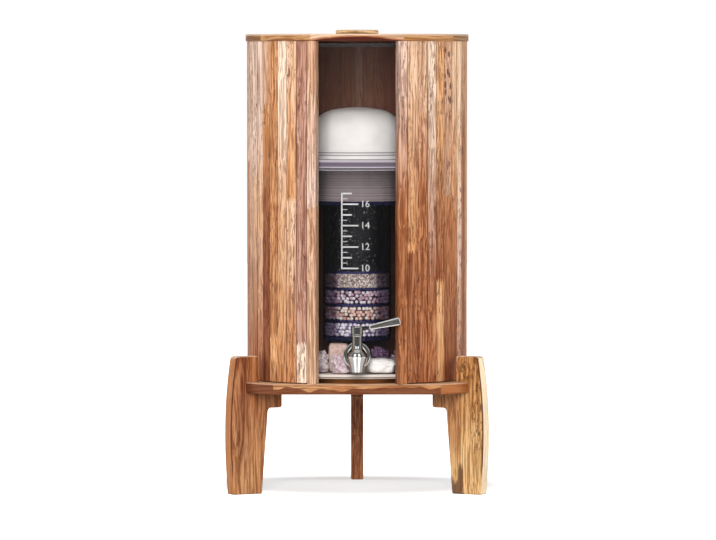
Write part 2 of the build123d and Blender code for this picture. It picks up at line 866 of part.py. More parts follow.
# ------------------------------------------------------------------ lever

lever_z = (hub_bottom + hub_top) / 2
tilt = radians(lever_tilt)
lever_side = Plane(
    origin=(0, tap_y, lever_z), x_dir=(cos(tilt), 0, sin(tilt)), z_dir=(0, -1, 0)
)
lever_end = Plane(
    origin=(0, tap_y, lever_z), x_dir=(0, 1, 0), z_dir=(cos(tilt), 0, sin(tilt))
)
blade_start = lever_reach - blade_length
socket_start = hub_radius - lever_spigot_length
neck_start = (hub_radius + lever_neck_radius * sin(tilt)) / cos(tilt) + seat_fit

with BuildPart() as lever_hub:
    with BuildSketch(tap_ground.offset(hub_bottom)):
        Circle(hub_radius)
    extrude(amount=hub_height)
    fillet(lever_hub.faces().sort_by(Axis.Z)[-1].edges(), hub_cap / 2)
    with BuildSketch(tap_ground.offset(hub_bottom)):
        Circle(valve_stem_radius + running_fit)
    extrude(amount=stem_top - hub_bottom, mode=Mode.SUBTRACT)
    with BuildSketch(lever_end.offset(socket_start)):
        Circle(lever_spigot_radius + running_fit)
    extrude(amount=2 * lever_spigot_length, mode=Mode.SUBTRACT)
    with BuildSketch(tap_ground.offset(stem_top)):
        Circle(hub_screw_radius + running_fit)
    extrude(amount=hub_cap, mode=Mode.SUBTRACT)
    with BuildSketch(tap_ground.offset(hub_top - hub_screw_radius)):
        Circle(hub_screw_radius + running_fit)
    with BuildSketch(tap_ground.offset(hub_top)):
        Circle(2 * hub_screw_radius + running_fit)
    loft(mode=Mode.SUBTRACT)

with BuildPart() as hub_screw:
    with BuildSketch(tap_ground.offset(hub_top - hub_screw_length + running_fit)):
        Circle(hub_screw_radius)
    extrude(amount=hub_screw_length - running_fit)
    with BuildSketch(tap_ground.offset(hub_top - hub_screw_radius)):
        Circle(hub_screw_radius)
    with BuildSketch(tap_ground.offset(hub_top)):
        Circle(2 * hub_screw_radius)
    loft()

# Black neck with a spigot at each end, in the hub and in the blade
with BuildPart() as lever_neck:
    with BuildSketch(lever_end.offset(socket_start + running_fit)):
        Circle(lever_spigot_radius)
    extrude(amount=blade_start + lever_spigot_length - socket_start - 2 * running_fit)
    with BuildSketch(lever_end.offset(neck_start)):
        Circle(lever_neck_radius)
    with BuildSketch(lever_end.offset(blade_start)):
        Ellipse(blade_thickness / 2 - blade_edge, blade_inner_height / 2 - blade_edge)
    loft()

# Blade, deeper towards its tip
with BuildPart() as lever_blade:
    with BuildSketch(lever_side) as blade_outline:
        with BuildLine():
            Polyline(
                (blade_start, -blade_inner_height / 2),
                (lever_reach, -blade_outer_height / 2),
                (lever_reach, blade_outer_height / 2),
                (blade_start, blade_inner_height / 2),
                close=True,
            )
        make_face()
        tips = blade_outline.vertices().group_by(Axis.X)
        fillet(tips[-1], blade_tip_rounding)
        fillet(tips[0], blade_inner_rounding)
    extrude(amount=blade_thickness / 2, both=True)
    fillet(lever_blade.faces().filter_by(Axis.Y).edges(), blade_edge)
    with BuildSketch(lever_end.offset(blade_start)):
        Circle(lever_spigot_radius + running_fit)
    extrude(amount=lever_spigot_length, mode=Mode.SUBTRACT)

# ------------------------------------------------------------------ files

pieces = {
    "stand_board": stand_board,
    **legs,
    "leg_screws": leg_screws,
    "casing_screws": casing_screws,
    "staves_left": staves_left,
    "staves_rear": staves_rear,
    "staves_right": staves_right,
    "post_left": post_left,
    "post_right": post_right,
    "top_hoop": top_hoop,
    "bottom_hoop": bottom_hoop,
    "lid_board": lid_board,
    "lid_knob": lid_knob,
    "knob_screw": knob_screw,
    "lid_cleats": lid_cleats,
    "base_disc": base_disc,
    "lower_tank": lower_tank,
    "upper_vessel": upper_vessel,
    "ceramic_dome": ceramic_dome,
    "dome_base": dome_base,
    "dome_seal": dome_seal,
    "dome_nut": dome_nut,
    "cartridge_head": cartridge_head,
    "cartridge_ring": cartridge_ring,
    "cartridge_shell": cartridge_shell,
    "cartridge_base": cartridge_base,
    "cartridge_separators": cartridge_separators,
    **beds,
    "rose_quartz": rose_quartz,
    "amethysts": amethysts,
    "white_quartz": white_quartz,
    "tap_body": tap_body,
    "tap_flange": tap_flange,
    "outer_washer": outer_washer,
    "inner_washer": inner_washer,
    "tap_nut": tap_nut,
    "valve_core": valve_core,
    "valve_o_rings": valve_o_rings,
    "bonnet_ring": bonnet_ring,
    "lever_hub": lever_hub,
    "hub_screw": hub_screw,
    "lever_neck": lever_neck,
    "lever_blade": lever_blade,
}
for name, piece in pieces.items():
    piece.part.label = name
    export_step(piece.part, f"parts/{name}.step")
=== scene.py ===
import math
import random

import bmesh
import bpy
import numpy as np
from mathutils import Matrix, Vector, noise


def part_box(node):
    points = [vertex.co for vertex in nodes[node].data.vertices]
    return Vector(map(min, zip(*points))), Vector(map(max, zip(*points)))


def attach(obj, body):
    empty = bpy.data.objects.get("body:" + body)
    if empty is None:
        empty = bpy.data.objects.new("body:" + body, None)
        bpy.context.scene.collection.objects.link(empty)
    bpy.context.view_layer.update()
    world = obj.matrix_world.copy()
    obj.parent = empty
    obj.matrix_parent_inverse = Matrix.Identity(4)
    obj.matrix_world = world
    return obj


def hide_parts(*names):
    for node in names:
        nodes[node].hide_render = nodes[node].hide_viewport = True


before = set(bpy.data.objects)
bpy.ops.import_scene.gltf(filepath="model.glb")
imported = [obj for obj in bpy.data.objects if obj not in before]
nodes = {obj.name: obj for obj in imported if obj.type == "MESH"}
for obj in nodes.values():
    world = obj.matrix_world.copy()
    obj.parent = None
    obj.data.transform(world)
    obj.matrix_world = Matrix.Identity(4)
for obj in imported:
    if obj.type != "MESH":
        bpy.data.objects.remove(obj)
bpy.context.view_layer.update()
random.seed(7)

# ---------------------------- places, in metres


def heading(point):
    """Angle of a point round the filter's axis, 0 straight ahead and positive to the right."""
    return math.atan2(point[0], AXIS_Y - point[1])


def solids_of(node):
    """(lowest corner, highest corner) of each separate solid of a CAD node, from left to right."""
    bm = bmesh.new()
    bm.from_mesh(nodes[node].data)
    bmesh.ops.remove_doubles(bm, verts=bm.verts, dist=1e-6)
    left = set(bm.verts)
    found = []
    while left:
        group = {left.pop()}
        edge = set(group)
        while edge:
            edge = {e.other_vert(v) for v in edge for e in v.link_edges} - group
            group |= edge
        left -= group
        points = np.array([v.co for v in group])
        found.append((Vector(points.min(0)), Vector(points.max(0))))
    bm.free()
    return sorted(found, key=lambda pair: pair[0].x)


TANK_LOW, TANK_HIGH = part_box("lower_tank")
AXIS_Y = (TANK_LOW.y + TANK_HIGH.y) / 2
TANK_RADIUS = TANK_HIGH.x
VESSEL_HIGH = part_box("upper_vessel")[1]
CASING_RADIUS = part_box("staves_rear")[1].y - AXIS_Y
STAVE_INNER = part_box("top_hoop")[1].y - AXIS_Y
BOARD_LOW, BOARD_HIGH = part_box("stand_board")
LID_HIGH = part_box("lid_board")[1]

# Where the posts beside the window end, and the pitch of the staves that share the rest of the round
POST_ANGLE = max(heading(vertex.co) for vertex in nodes["post_right"].data.vertices)
stave_angles = [heading(vertex.co) for vertex in nodes["staves_right"].data.vertices]
STAVE_PITCH = (max(stave_angles) - min(stave_angles)) / len(solids_of("staves_right"))

# ---------------------------- colours


def srgb(red, green, blue):
    """A colour given in 0 to 255 display values, as Blender's linear colour."""
    shares = [value / 255 for value in (red, green, blue)]
    return (*[s / 12.92 if s <= 0.04045 else ((s + 0.055) / 1.055) ** 2.4 for s in shares], 1.0)


WHITE = (1.0, 1.0, 1.0, 1.0)
STRAW = srgb(250, 208, 164)
CREAM = srgb(240, 208, 180)
BLUSH = srgb(225, 189, 167)
TAN = srgb(217, 171, 135)
HONEY = srgb(208, 155, 112)
SAND = srgb(202, 152, 118)
GOLD = srgb(210, 150, 98)
AMBER = srgb(191, 127, 77)
COPPER = srgb(180, 113, 66)
MAUVE = srgb(172, 122, 100)
RUST = srgb(168, 99, 56)
CHESTNUT = srgb(145, 81, 45)
UMBER = srgb(121, 60, 31)
PLUM = srgb(76, 34, 24)
# Inner faces of the staves: partly their stain, partly painted shade inside the casing
INNER_SHADE_BROWN = srgb(102, 57, 41)

# ---------------------------- shader helpers


class Tree:
    """Adds shader nodes to a tree; an input is a plain value or another node's output."""

    def __init__(self, tree):
        self.tree = tree
        tree.nodes.clear()

    def node(self, kind, inputs, **settings):
        made = self.tree.nodes.new("ShaderNode" + kind)
        for name, value in settings.items():
            setattr(made, name, value)
        for key, value in inputs.items():
            if isinstance(value, bpy.types.NodeSocket):
                self.tree.links.new(value, made.inputs[key])
            else:
                made.inputs[key].default_value = value
        return made

    def math(self, operation, a, b=0.0, clamp=False):
        return self.node("Math", {0: a, 1: b}, operation=operation, use_clamp=clamp).outputs[0]

    def plus(self, a, b):
        return self.math("ADD", a, b)

    def minus(self, a, b):
        return self.math("SUBTRACT", a, b)

    def absolute(self, value):
        return self.math("ABSOLUTE", value)

    def times(self, *factors):
        product = factors[0]
        for factor in factors[1:]:
            product = self.math("MULTIPLY", product, factor)
        return product

    def vector(self, operation, a, b=(0.0, 0.0, 0.0)):
        return self.node("VectorMath", {0: a, 1: b}, operation=operation).outputs[0]

    def stretch(self, vector, x, y, z):
        return self.vector("MULTIPLY", vector, (x, y, z))

    def split(self, vector):
        return self.node("SeparateXYZ", {0: vector}).outputs

    def join(self, x, y, z):
        return self.node("CombineXYZ", {0: x, 1: y, 2: z}).outputs[0]

    def noise(self, vector, detail=2.0, roughness=0.5):
        inputs = {"Vector": vector, "Scale": 1.0, "Detail": detail, "Roughness": roughness}
        return self.node("TexNoise", inputs).outputs["Fac"]

    def dice(self, x, y, z):
        """Three random values from 0 to 1 that stay the same for the same three numbers."""
        return self.split(self.node("TexWhiteNoise", {"Vector": self.join(x, y, z)}).outputs["Color"])

    def cells(self, vector, feature="F1"):
        return self.node("TexVoronoi", {"Vector": vector, "Scale": 1.0}, feature=feature).outputs

    def step(self, value, low, high):
        """0 below low, 1 above high and smooth between; the other way round if low is above high."""
        inputs = {"Value": value, "From Min": low, "From Max": high}
        return self.node("MapRange", inputs, interpolation_type="SMOOTHSTEP").outputs[0]

    def range(self, value, low, high):
        """A value from 0 to 1, spread from low to high."""
        return self.node("MapRange", {"Value": value, "To Min": low, "To Max": high}).outputs[0]

    def between(self, value, low, high, soft):
        """1 between low and high and 0 outside, with soft edges."""
        above = self.step(value, low - soft, low + soft)
        below = self.step(value, high + soft, high - soft)
        return self.times(above, below)

    def mix(self, factor, a, b, blend="MIX"):
        settings = {"data_type": "RGBA", "blend_type": blend}
        return self.node("Mix", {0: factor, 6: a, 7: b}, **settings).outputs[2]

    def shade(self, colour, value):
        """A colour times a grey value."""
        return self.mix(1.0, colour, self.join(value, value, value), "MULTIPLY")

    def pick(self, number, values):
        """The value that stands at a whole number, from a ramp with a flat step for each."""
        share = self.math("DIVIDE", self.plus(number, 0.5), len(values))
        made = self.node("ValToRGB", {0: share})
        made.color_ramp.interpolation = "CONSTANT"
        elements = made.color_ramp.elements
        while len(elements) < len(values):
            elements.new(1.0)
        for place, (element, value) in enumerate(zip(elements, values)):
            element.position = place / len(values)
            element.color = value
        return made.outputs[0]

    def bump(self, height, distance):
        inputs = {"Height": height, "Distance": distance, "Strength": 1.0}
        return self.node("Bump", inputs).outputs[0]

    def place(self):
        return self.node("TexCoord", {}).outputs["Object"]

    def facing(self):
        """The surface's own direction, whatever the relief."""
        return self.split(self.node("NewGeometry", {}).outputs["Normal"])

    def surface(self, shader):
        self.node("OutputMaterial", {0: shader})

    def opaque(self, colour, roughness, height, relief, more=()):
        """The surface of all that isn't clear, with the fine relief of a height field."""
        inputs = {
            "Base Color": colour,
            "Roughness": roughness,
            "Normal": self.bump(height, relief),
            **dict(more),
        }
        self.surface(self.node("BsdfPrincipled", inputs).outputs[0])


def material(name, transparent=False):
    """A new material and its empty tree."""
    made = bpy.data.materials.new(name)
    made.use_nodes = True
    if transparent:
        made.surface_render_method = "BLENDED"
    return made, Tree(made.node_tree)


def paint(made, *names):
    """Gives CAD nodes a material."""
    for name in names:
        slots = nodes[name].data.materials
        slots.clear()
        slots.append(made)


def round_place(t):
    """Radius, angle from straight ahead, height, and depth ahead of the axis."""
    x, y, z = t.split(t.place())
    forward = t.minus(AXIS_Y, y)
    radius = t.math("SQRT", t.plus(t.times(x, x), t.times(forward, forward)))
    return radius, t.math("ARCTAN2", x, forward), z, forward


# ---------------------------- wood


def grain(t, place, seed, tone, figure, flecks=0.6):
    """Acacia whose grain runs along Z of place. Returns its colour, roughness and height."""
    start = t.vector("ADD", place, t.stretch(t.join(seed, seed, seed), 3.7, 5.3, 9.1))
    wander = t.noise(t.stretch(start, 15, 15, 7), 1.0)
    bend = t.times(t.minus(wander, 0.5), 0.02)
    bent = t.vector("ADD", start, t.join(bend, bend, 0.0))
    broad = t.noise(t.stretch(bent, 85, 85, 4), 2.0)
    streak = t.noise(t.stretch(bent, 230, 230, 8), 3.0, 0.6)
    line = t.noise(t.stretch(bent, 470, 470, 15), 2.0)
    pores = t.noise(t.stretch(bent, 420, 420, 85), 2.0, 0.6)
    gather = t.noise(t.stretch(bent, 60, 60, 12), 1.0)
    dark = t.mix(0.6, tone, PLUM)
    pale = t.node("Gamma", {"Color": tone, "Gamma": 0.7}).outputs[0]
    colour = t.mix(t.times(t.step(broad, 0.47, 0.66), figure), tone, dark)
    colour = t.mix(t.times(t.step(streak, 0.52, 0.59), 0.8), colour, dark)
    colour = t.mix(t.times(t.step(streak, 0.48, 0.40), 0.85), colour, pale)
    colour = t.mix(t.times(t.step(line, 0.53, 0.61), 0.75), colour, dark)
    colour = t.mix(t.times(t.step(line, 0.47, 0.39), 0.75), colour, pale)
    spots = t.times(t.step(pores, 0.54, 0.62), t.step(gather, 0.4, 0.56), flecks)
    colour = t.mix(spots, colour, PLUM)
    roughness = t.range(streak, 0.4, 0.65)
    height = t.minus(t.plus(streak, line), spots)
    return colour, roughness, height


def wood_surface(t, colour, roughness, height):
    """Oiled wood, with the grain's fine relief."""
    t.opaque(colour, roughness, height, 0.0002, {"Specular IOR Level": 0.3})


# A stave beside the window: its tone at the top, above its finger joint, below the joint and at
# the bottom, then the joint's height, the stretch over which the tones change, and its figure
# Paler tops and darker feet here are partly the wood, partly painted light above and painted shade
# below
LEFT_STAVES = (
    (SAND, BLUSH, SAND, TAN, (0.450, 0.24, 0.40)),
    (MAUVE, MAUVE, CREAM, CREAM, (0.240, 0.10, 0.50)),
    (TAN, AMBER, TAN, COPPER, (0.462, 0.28, 0.30)),
    (CREAM, HONEY, HONEY, AMBER, (0.420, 0.20, 0.10)),
    (AMBER, AMBER, GOLD, AMBER, (0.250, 0.35, 0.40)),
    (TAN, SAND, AMBER, UMBER, (0.606, 0.24, 0.50)),
    (BLUSH, HONEY, SAND, RUST, (0.400, 0.24, 0.25)),
    (CREAM, BLUSH, TAN, RUST, (0.498, 0.30, 0.25)),
    (BLUSH, SAND, SAND, RUST, (0.400, 0.20, 0.30)),
    (SAND, TAN, AMBER, RUST, (0.520, 0.20, 0.40)),
)
RIGHT_STAVES = (
    (BLUSH, RUST, CHESTNUT, RUST, (0.420, 0.30, 0.45)),
    (TAN, AMBER, CHESTNUT, CHESTNUT, (0.381, 0.30, 0.30)),
    (TAN, RUST, RUST, CHESTNUT, (0.450, 0.25, 0.50)),
    (CREAM, CHESTNUT, RUST, CHESTNUT, (0.298, 0.44, 0.60)),
    (GOLD, CHESTNUT, GOLD, AMBER, (0.336, 0.32, 0.30)),
    (SAND, SAND, RUST, CHESTNUT, (0.467, 0.24, 0.45)),
    (TAN, AMBER, RUST, CHESTNUT, (0.430, 0.24, 0.10)),
    (STRAW, BLUSH, SAND, CHESTNUT, (0.340, 0.26, 0.25)),
    (SAND, CHESTNUT, CHESTNUT, CHESTNUT, (0.520, 0.15, 0.35)),
    (AMBER, AMBER, RUST, CHESTNUT, (0.300, 0.20, 0.40)),
)
KNOTTED_STAVE = 5  # on the right
FINGER, FINGER_SLOPE = 0.0024, 3.0  # half the width of a joint's fingers, and how steep they are
SEAM_FROM, SEAM_TO = 0.0017, 0.0002  # how far from a stave's edge its glue line starts and is full
REAR_TONES = (CREAM, TAN, GOLD, SAND, AMBER, RUST, HONEY, AMBER, CHESTNUT)


def stave_tones(t, number, side, height):
    """Tone, figure and joint number of each stave: chosen near the window, random at the back."""
    near = LEFT_STAVES + RIGHT_STAVES
    on_right = t.math("GREATER_THAN", side, 0.0)
    row = t.plus(number, t.times(on_right, len(LEFT_STAVES)))
    is_near = t.math("LESS_THAN", number, len(LEFT_STAVES))
    chance = t.dice(number, side, 1.0)
    more = t.dice(number, side, 2.0)
    last = len(REAR_TONES) - 0.01
    other = [t.pick(t.math("FLOOR", t.times(roll, last)), REAR_TONES) for roll in chance]
    other = (other[0], other[0], other[1], other[2])
    chosen = [t.pick(row, [stave[k] for stave in near]) for k in range(4)]
    top, upper, lower, bottom = [t.mix(is_near, a, b) for a, b in zip(other, chosen)]
    numbers = t.join(t.range(more[0], 0.26, 0.6), 0.15, t.range(more[1], 0.2, 0.55))
    wanted = t.pick(row, [(*stave[4], 1.0) for stave in near])
    joint, fade, figure = t.split(t.mix(is_near, numbers, wanted))
    over = t.step(t.minus(height, joint), 0.0, fade)
    under = t.step(t.minus(joint, height), 0.0, fade)
    above = t.step(t.minus(height, joint), -0.0003, 0.0003)
    tone = t.mix(above, t.mix(under, lower, bottom), t.mix(over, upper, top))
    spare = t.range(more[2], 0.2, 0.66)
    second = t.math("GREATER_THAN", height, spare)
    return tone, figure, t.plus(above, t.times(second, 2.0))


def stave_wood():
    """Upright staves with finger joints."""
    made, t = material("stave_acacia")
    radius, angle, z, _ = round_place(t)
    side = t.math("SIGN", angle)
    away = t.absolute(angle)
    share = t.math("DIVIDE", t.minus(away, POST_ANGLE), STAVE_PITCH)
    share = t.math("MAXIMUM", share, -0.999)  # the post counts as number 0
    number = t.plus(t.math("FLOOR", share), 1.0)
    across = t.times(t.minus(t.math("FRACT", t.plus(share, 1.0)), 0.5), STAVE_PITCH)
    across = t.times(across, CASING_RADIUS)
    fingered = t.plus(z, t.times(t.math("PINGPONG", across, FINGER), FINGER_SLOPE))
    tone, figure, piece = stave_tones(t, number, side, fingered)
    seeds = t.dice(number, side, piece)
    tone = t.shade(tone, t.range(seeds[1], 0.93, 1.05))
    place = t.join(across, radius, z)
    colour, roughness, height = grain(t, place, seeds[0], tone, figure, t.range(seeds[2], 0.3, 0.9))

    # A chain of knots in one stave
    in_stave = t.times(t.math("COMPARE", number, KNOTTED_STAVE), t.math("GREATER_THAN", side, 0.0))
    knot = t.cells(t.stretch(place, 120, 1, 62))["Distance"]
    fray = t.minus(t.noise(t.stretch(place, 700, 1, 500)), 0.5)
    ragged = t.plus(knot, t.times(fray, 0.5))
    knots = t.times(in_stave, t.step(ragged, 0.42, 0.26), t.step(z, 0.56, 0.6), 0.85)
    colour = t.mix(knots, colour, PLUM)

    # Dark glue lines, stronger between some staves than others, and inner faces darkened: stain and
    # painted shade
    seam_strength = t.dice(t.math("ROUND", share), side, 6.0)[0]
    edge = STAVE_PITCH * CASING_RADIUS / 2
    seam = t.step(t.absolute(across), edge - SEAM_FROM, edge - SEAM_TO)
    colour = t.mix(t.times(seam, t.range(seam_strength, 0.1, 0.8)), colour, PLUM)
    # Inner faces darkened towards brown: partly the wood's stain and partly painted shade inside the
    # casing
    inside = t.step(radius, STAVE_INNER + 0.0012, STAVE_INNER + 0.0003)
    colour = t.mix(inside, colour, t.mix(0.88, colour, INNER_SHADE_BROWN))
    wood_surface(t, colour, roughness, height)
    return made


def plank_wood(name, node, first, width, tones, arch, finish):
    """A board of planks that run left to right: the first one narrower, and each with its own
    tone. Arch tips the first one's year rings, finish paints the edge, and the top is painted
    lighter as light from above, with a line between the planks."""
    made, t = material(name)
    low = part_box(node)[0]
    x, y, z = t.split(t.place())
    depth = t.minus(y, low.y)
    row = t.math("CEIL", t.math("DIVIDE", t.minus(depth, first), width))
    row = t.math("MAXIMUM", row, 0.0)
    in_front = t.math("LESS_THAN", row, 0.5)
    seeds = t.dice(row, 5.0, 0.0)
    tone = t.pick(t.math("MODULO", row, len(tones)), tones)
    tip = t.times(depth, t.range(in_front, 0.06, arch))
    layer = t.plus(t.minus(z, low.z), tip)
    normal = t.facing()
    upward = t.step(normal[2], 0.6, 0.9)
    deep = t.plus(t.times(layer, 0.3), t.times(depth, upward))
    colour, roughness, height = grain(t, t.join(layer, deep, x), seeds[0], tone, 0.5, 0.3)
    at = {"x": x, "z": z, "layer": layer, "in_front": in_front, "aside": normal[0]}
    edge = finish(t, colour, at) if finish else colour
    # Top faces painted lighter towards cream: painted light from above
    lighter = t.mix(0.25, t.node("Gamma", {"Color": colour, "Gamma": 0.75}).outputs[0], CREAM)
    past = t.math("FRACT", t.math("DIVIDE", t.minus(depth, first), width))
    seam = t.math("GREATER_THAN", t.absolute(t.minus(past, 0.5)), 0.49)
    colour = t.mix(upward, edge, t.mix(t.times(seam, 0.6), lighter, UMBER))
    wood_surface(t, colour, roughness, height)
    return made


def lid_edge(t, colour, at):
    """The lid's first plank shows its heart as an arch, and its rounded top edge has a painted
    highlight.
    """
    waver = t.times(t.minus(t.noise(t.join(t.times(at["x"], 30), 0, 0), 1.0), 0.5), 0.004)
    arched = t.plus(at["layer"], waver)
    heart = t.times(at["in_front"], t.step(arched, 0.0090, 0.0082))
    colour = t.mix(t.times(heart, 0.85), colour, RUST)
    core = t.times(at["in_front"], t.step(arched, 0.0080, 0.0056))
    colour = t.mix(core, colour, srgb(74, 28, 17))
    # Rounded top edge painted towards cream: a painted highlight
    rounded = t.step(at["z"], LID_HIGH.z - 0.0035, LID_HIGH.z - 0.001)
    return t.mix(t.times(rounded, 0.6), colour, CREAM)


def board_edge(t, colour, at):
    """The board's straight front is golden over a wavy brown figure, and its ends, turned from the
    front, are painted darker as shade, redder on the left; its top edge has a painted highlight."""
    ahead = t.step(t.absolute(at["aside"]), 0.3, 0.2)
    wave = t.noise(t.join(t.times(at["x"], 24), 2.0, 0), 1.0)
    line = t.plus(t.times(t.minus(wave, 0.5), 0.028), BOARD_LOW.z + 0.0075)
    line = t.plus(line, t.times(t.step(at["x"], -0.02, 0.02), 0.0035))
    brown = t.times(ahead, t.step(t.minus(at["z"], line), 0.0010, -0.0010))
    colour = t.mix(t.times(brown, 0.85), colour, srgb(100, 48, 25))
    # Side ends turned from the front painted darker: painted shade
    shaded_end_tone = t.mix(t.step(at["x"], -0.05, 0.05), srgb(96, 44, 26), srgb(162, 98, 52))
    colour = t.mix(t.times(t.minus(1.0, ahead), 0.82), colour, shaded_end_tone)
    # Rounded top edge painted towards cream: a painted highlight
    rounded = t.step(at["z"], BOARD_HIGH.z - 0.0016, BOARD_HIGH.z - 0.0003)
    return t.mix(t.times(rounded, 0.6), colour, CREAM)


def disc_edge(t, colour, at):
    """The disc's edge is golden straight ahead and is painted darker towards the posts, as their
    shade.
    """
    golden = t.mix(0.6, colour, srgb(124, 74, 26))
    shaded = t.step(t.absolute(at["x"]), 0.022, 0.052)
    return t.mix(shaded, golden, t.mix(0.7, colour, srgb(34, 12, 4)))


def leg_place(t, turn):
    """Along a leg's own directions: outwards from the axis, across its thickness, and up."""
    x, y, z = t.split(t.place())
    forward = t.minus(AXIS_Y, y)
    sine, cosine = math.sin(turn), math.cos(turn)
    out = t.plus(t.times(x, sine), t.times(forward, cosine))
    across = t.minus(t.times(x, cosine), t.times(forward, sine))
    normal = t.facing()
    outward = t.minus(t.times(normal[0], sine), t.times(normal[1], cosine))
    return out, across, z, outward


def leg_wood(name, turn, upper, lower, band, outer_tone, figure, finish):
    """A leg cut from one plank, with another tone towards its foot, a band that runs up through
    it (tone, from and to, outwards from the axis), and a dark line where it is rounded over.
    Figure is the strength of its grain, and seeds it."""
    made, t = material(name)
    out, across, z, outward = leg_place(t, turn)
    place = t.join(out, across, z)
    drift = t.times(t.minus(t.noise(t.stretch(place, 30, 30, 6), 2.0), 0.5), 0.03)
    band_tone, band_from, band_to = band
    inside = t.between(t.plus(out, drift), band_from, band_to, 0.005)
    rising = t.step(z, 0.015, 0.09)
    mixed = t.mix(t.step(z, 0.05, 0.15), lower, upper)
    mixed = t.mix(t.times(inside, rising, 0.75), mixed, band_tone)
    mixed = t.mix(t.step(outward, 0.75, 0.95), mixed, outer_tone)
    colour, roughness, height = grain(t, place, figure, mixed, figure, 0.2)
    colour = t.mix(t.times(t.step(outward, 0.75, 0.95), 0.6), colour, outer_tone)
    rounding = t.times(t.between(outward, 0.1, 0.78, 0.06), t.step(z, 0.02, 0.05))
    colour = t.mix(t.times(rounding, 0.92), colour, PLUM)
    # Faces turned upwards painted towards cream: painted light from above
    colour = t.mix(t.times(t.step(t.facing()[2], 0.3, 0.8), 0.6), colour, CREAM)
    if finish:
        at = {"out": out, "place": place, "z": z, "outward": outward}
        colour = finish(t, colour, at)
    wood_surface(t, colour, roughness, height)
    return made


def knotty_margin(t, colour, at):
    """Dark figure along the outer margin, and a dark patch with a finger at the foot."""
    out, place, z = at["out"], at["place"], at["z"]
    swirl = t.noise(t.stretch(place, 260, 260, 75), 3.0, 0.7)
    spread = t.noise(t.stretch(place, 60, 60, 18), 2.0)
    margin = t.times(t.step(out, 0.202, 0.218), t.step(z, 0.03, 0.1))
    upper = t.times(t.step(z, 0.165, 0.185), t.step(spread, 0.47, 0.62))
    marked = t.math("MAXIMUM", margin, upper)
    dashes = t.times(marked, t.step(swirl, 0.49, 0.56), t.step(at["outward"], 0.3, 0.1))
    colour = t.mix(t.times(dashes, 0.8), colour, srgb(84, 48, 24))
    ragged = t.times(t.minus(t.noise(t.stretch(place, 150, 150, 40), 2.0), 0.5), 0.03)
    over = t.plus(z, ragged)
    sideways = t.plus(out, t.times(ragged, 0.2))
    patch = t.times(t.between(sideways, 0.150, 0.196, 0.002), t.step(over, 0.030, 0.020))
    finger = t.times(t.between(sideways, 0.186, 0.196, 0.002), t.step(over, 0.050, 0.038))
    return t.mix(t.times(t.math("MAXIMUM", patch, finger), 0.8), colour, PLUM)


def plywood():
    """Bent birch plywood of the hoops, with its plies at the edge."""
    made, t = material("hoop_ply")
    radius, angle, z, _ = round_place(t)
    ply = t.math("GREATER_THAN", t.math("FRACT", t.math("DIVIDE", radius, 0.003)), 0.5)
    tone = t.mix(ply, SAND, RUST)
    place = t.join(radius, z, t.times(angle, 0.15))
    wood_surface(t, *grain(t, place, 0.37, tone, 0.3))
    return made


# ---------------------------- clear and moulded materials


MIRROR = 0.15  # of what bare glass would mirror: four clear walls stand one behind the other


def clear_wall(name, tint, bands, veil, edge_from, edge_to, lines):
    """A clear thin wall. It mirrors by its angle, tints between edge_from and edge_to of its
    turning away, and is veiled by dust and by level lines; bands are (bottom, top, colour, cover)
    of the stretches where mouldings and rims hide more, and where shadow is painted on them."""
    made, t = material(name, transparent=True)
    place = t.place()
    z = t.split(place)[2]
    smear = t.noise(t.stretch(place, 40, 40, 12), 3.0)
    fresnel = t.node("Fresnel", {"IOR": 1.45}).outputs[0]
    # Started early, as on the cartridge's shell, this tint paints shade on what lies behind the sides
    side = t.step(t.node("LayerWeight", {"Blend": 0.5}).outputs["Facing"], edge_from, edge_to)
    cover = t.range(smear, veil * 0.8, veil * 1.2)
    if lines:
        ridge = t.noise(t.join(0.0, 0.0, t.times(z, 480)), 2.0)
        cover = t.math("ADD", cover, t.times(t.minus(ridge, 0.5), lines), clamp=True)
    haze_colour = tint
    for bottom, top, colour, share in bands:
        inside = t.between(z, bottom, top, 0.0003)
        haze_colour = t.mix(inside, haze_colour, colour)
        cover = t.math("MAXIMUM", cover, t.times(inside, share))
    clear = t.node("BsdfTransparent", {"Color": t.mix(side, WHITE, tint)}).outputs[0]
    haze = t.node("BsdfDiffuse", {"Color": haze_colour}).outputs[0]
    body = t.node("MixShader", {0: cover, 1: clear, 2: haze}).outputs[0]
    gloss = t.node("BsdfGlossy", {"Color": WHITE, "Roughness": t.range(smear, 0.02, 0.08)}).outputs[0]
    bare = t.minus(1.0, cover)
    t.surface(t.node("MixShader", {0: t.times(fresnel, MIRROR, bare), 1: body, 2: gloss}).outputs[0])
    return made


def moulded(name, tone, speck, roughness, fine=900.0, relief=0.00005, metallic=0.0):
    """A moulded, cast or fired finish: a tone clouded with another, and a fine skin."""
    made, t = material(name)
    place = t.place()
    cloud = t.noise(t.stretch(place, 45, 45, 45), 3.0)
    skin = t.noise(t.stretch(place, fine, fine, fine), 2.0)
    colour = t.mix(t.step(cloud, 0.35, 0.75), tone, speck)
    rough = t.range(skin, roughness * 0.8, roughness * 1.25)
    t.opaque(colour, rough, skin, relief, {"Metallic": metallic})
    return made


LEVER_TILT = math.radians(12)
BLADE_RIM = 0.0011


def along_lever(x, z):
    """A point's distances along the tilted lever, and square to it upwards."""
    sine, cosine = math.sin(LEVER_TILT), math.cos(LEVER_TILT)
    return x * cosine + z * sine, z * cosine - x * sine


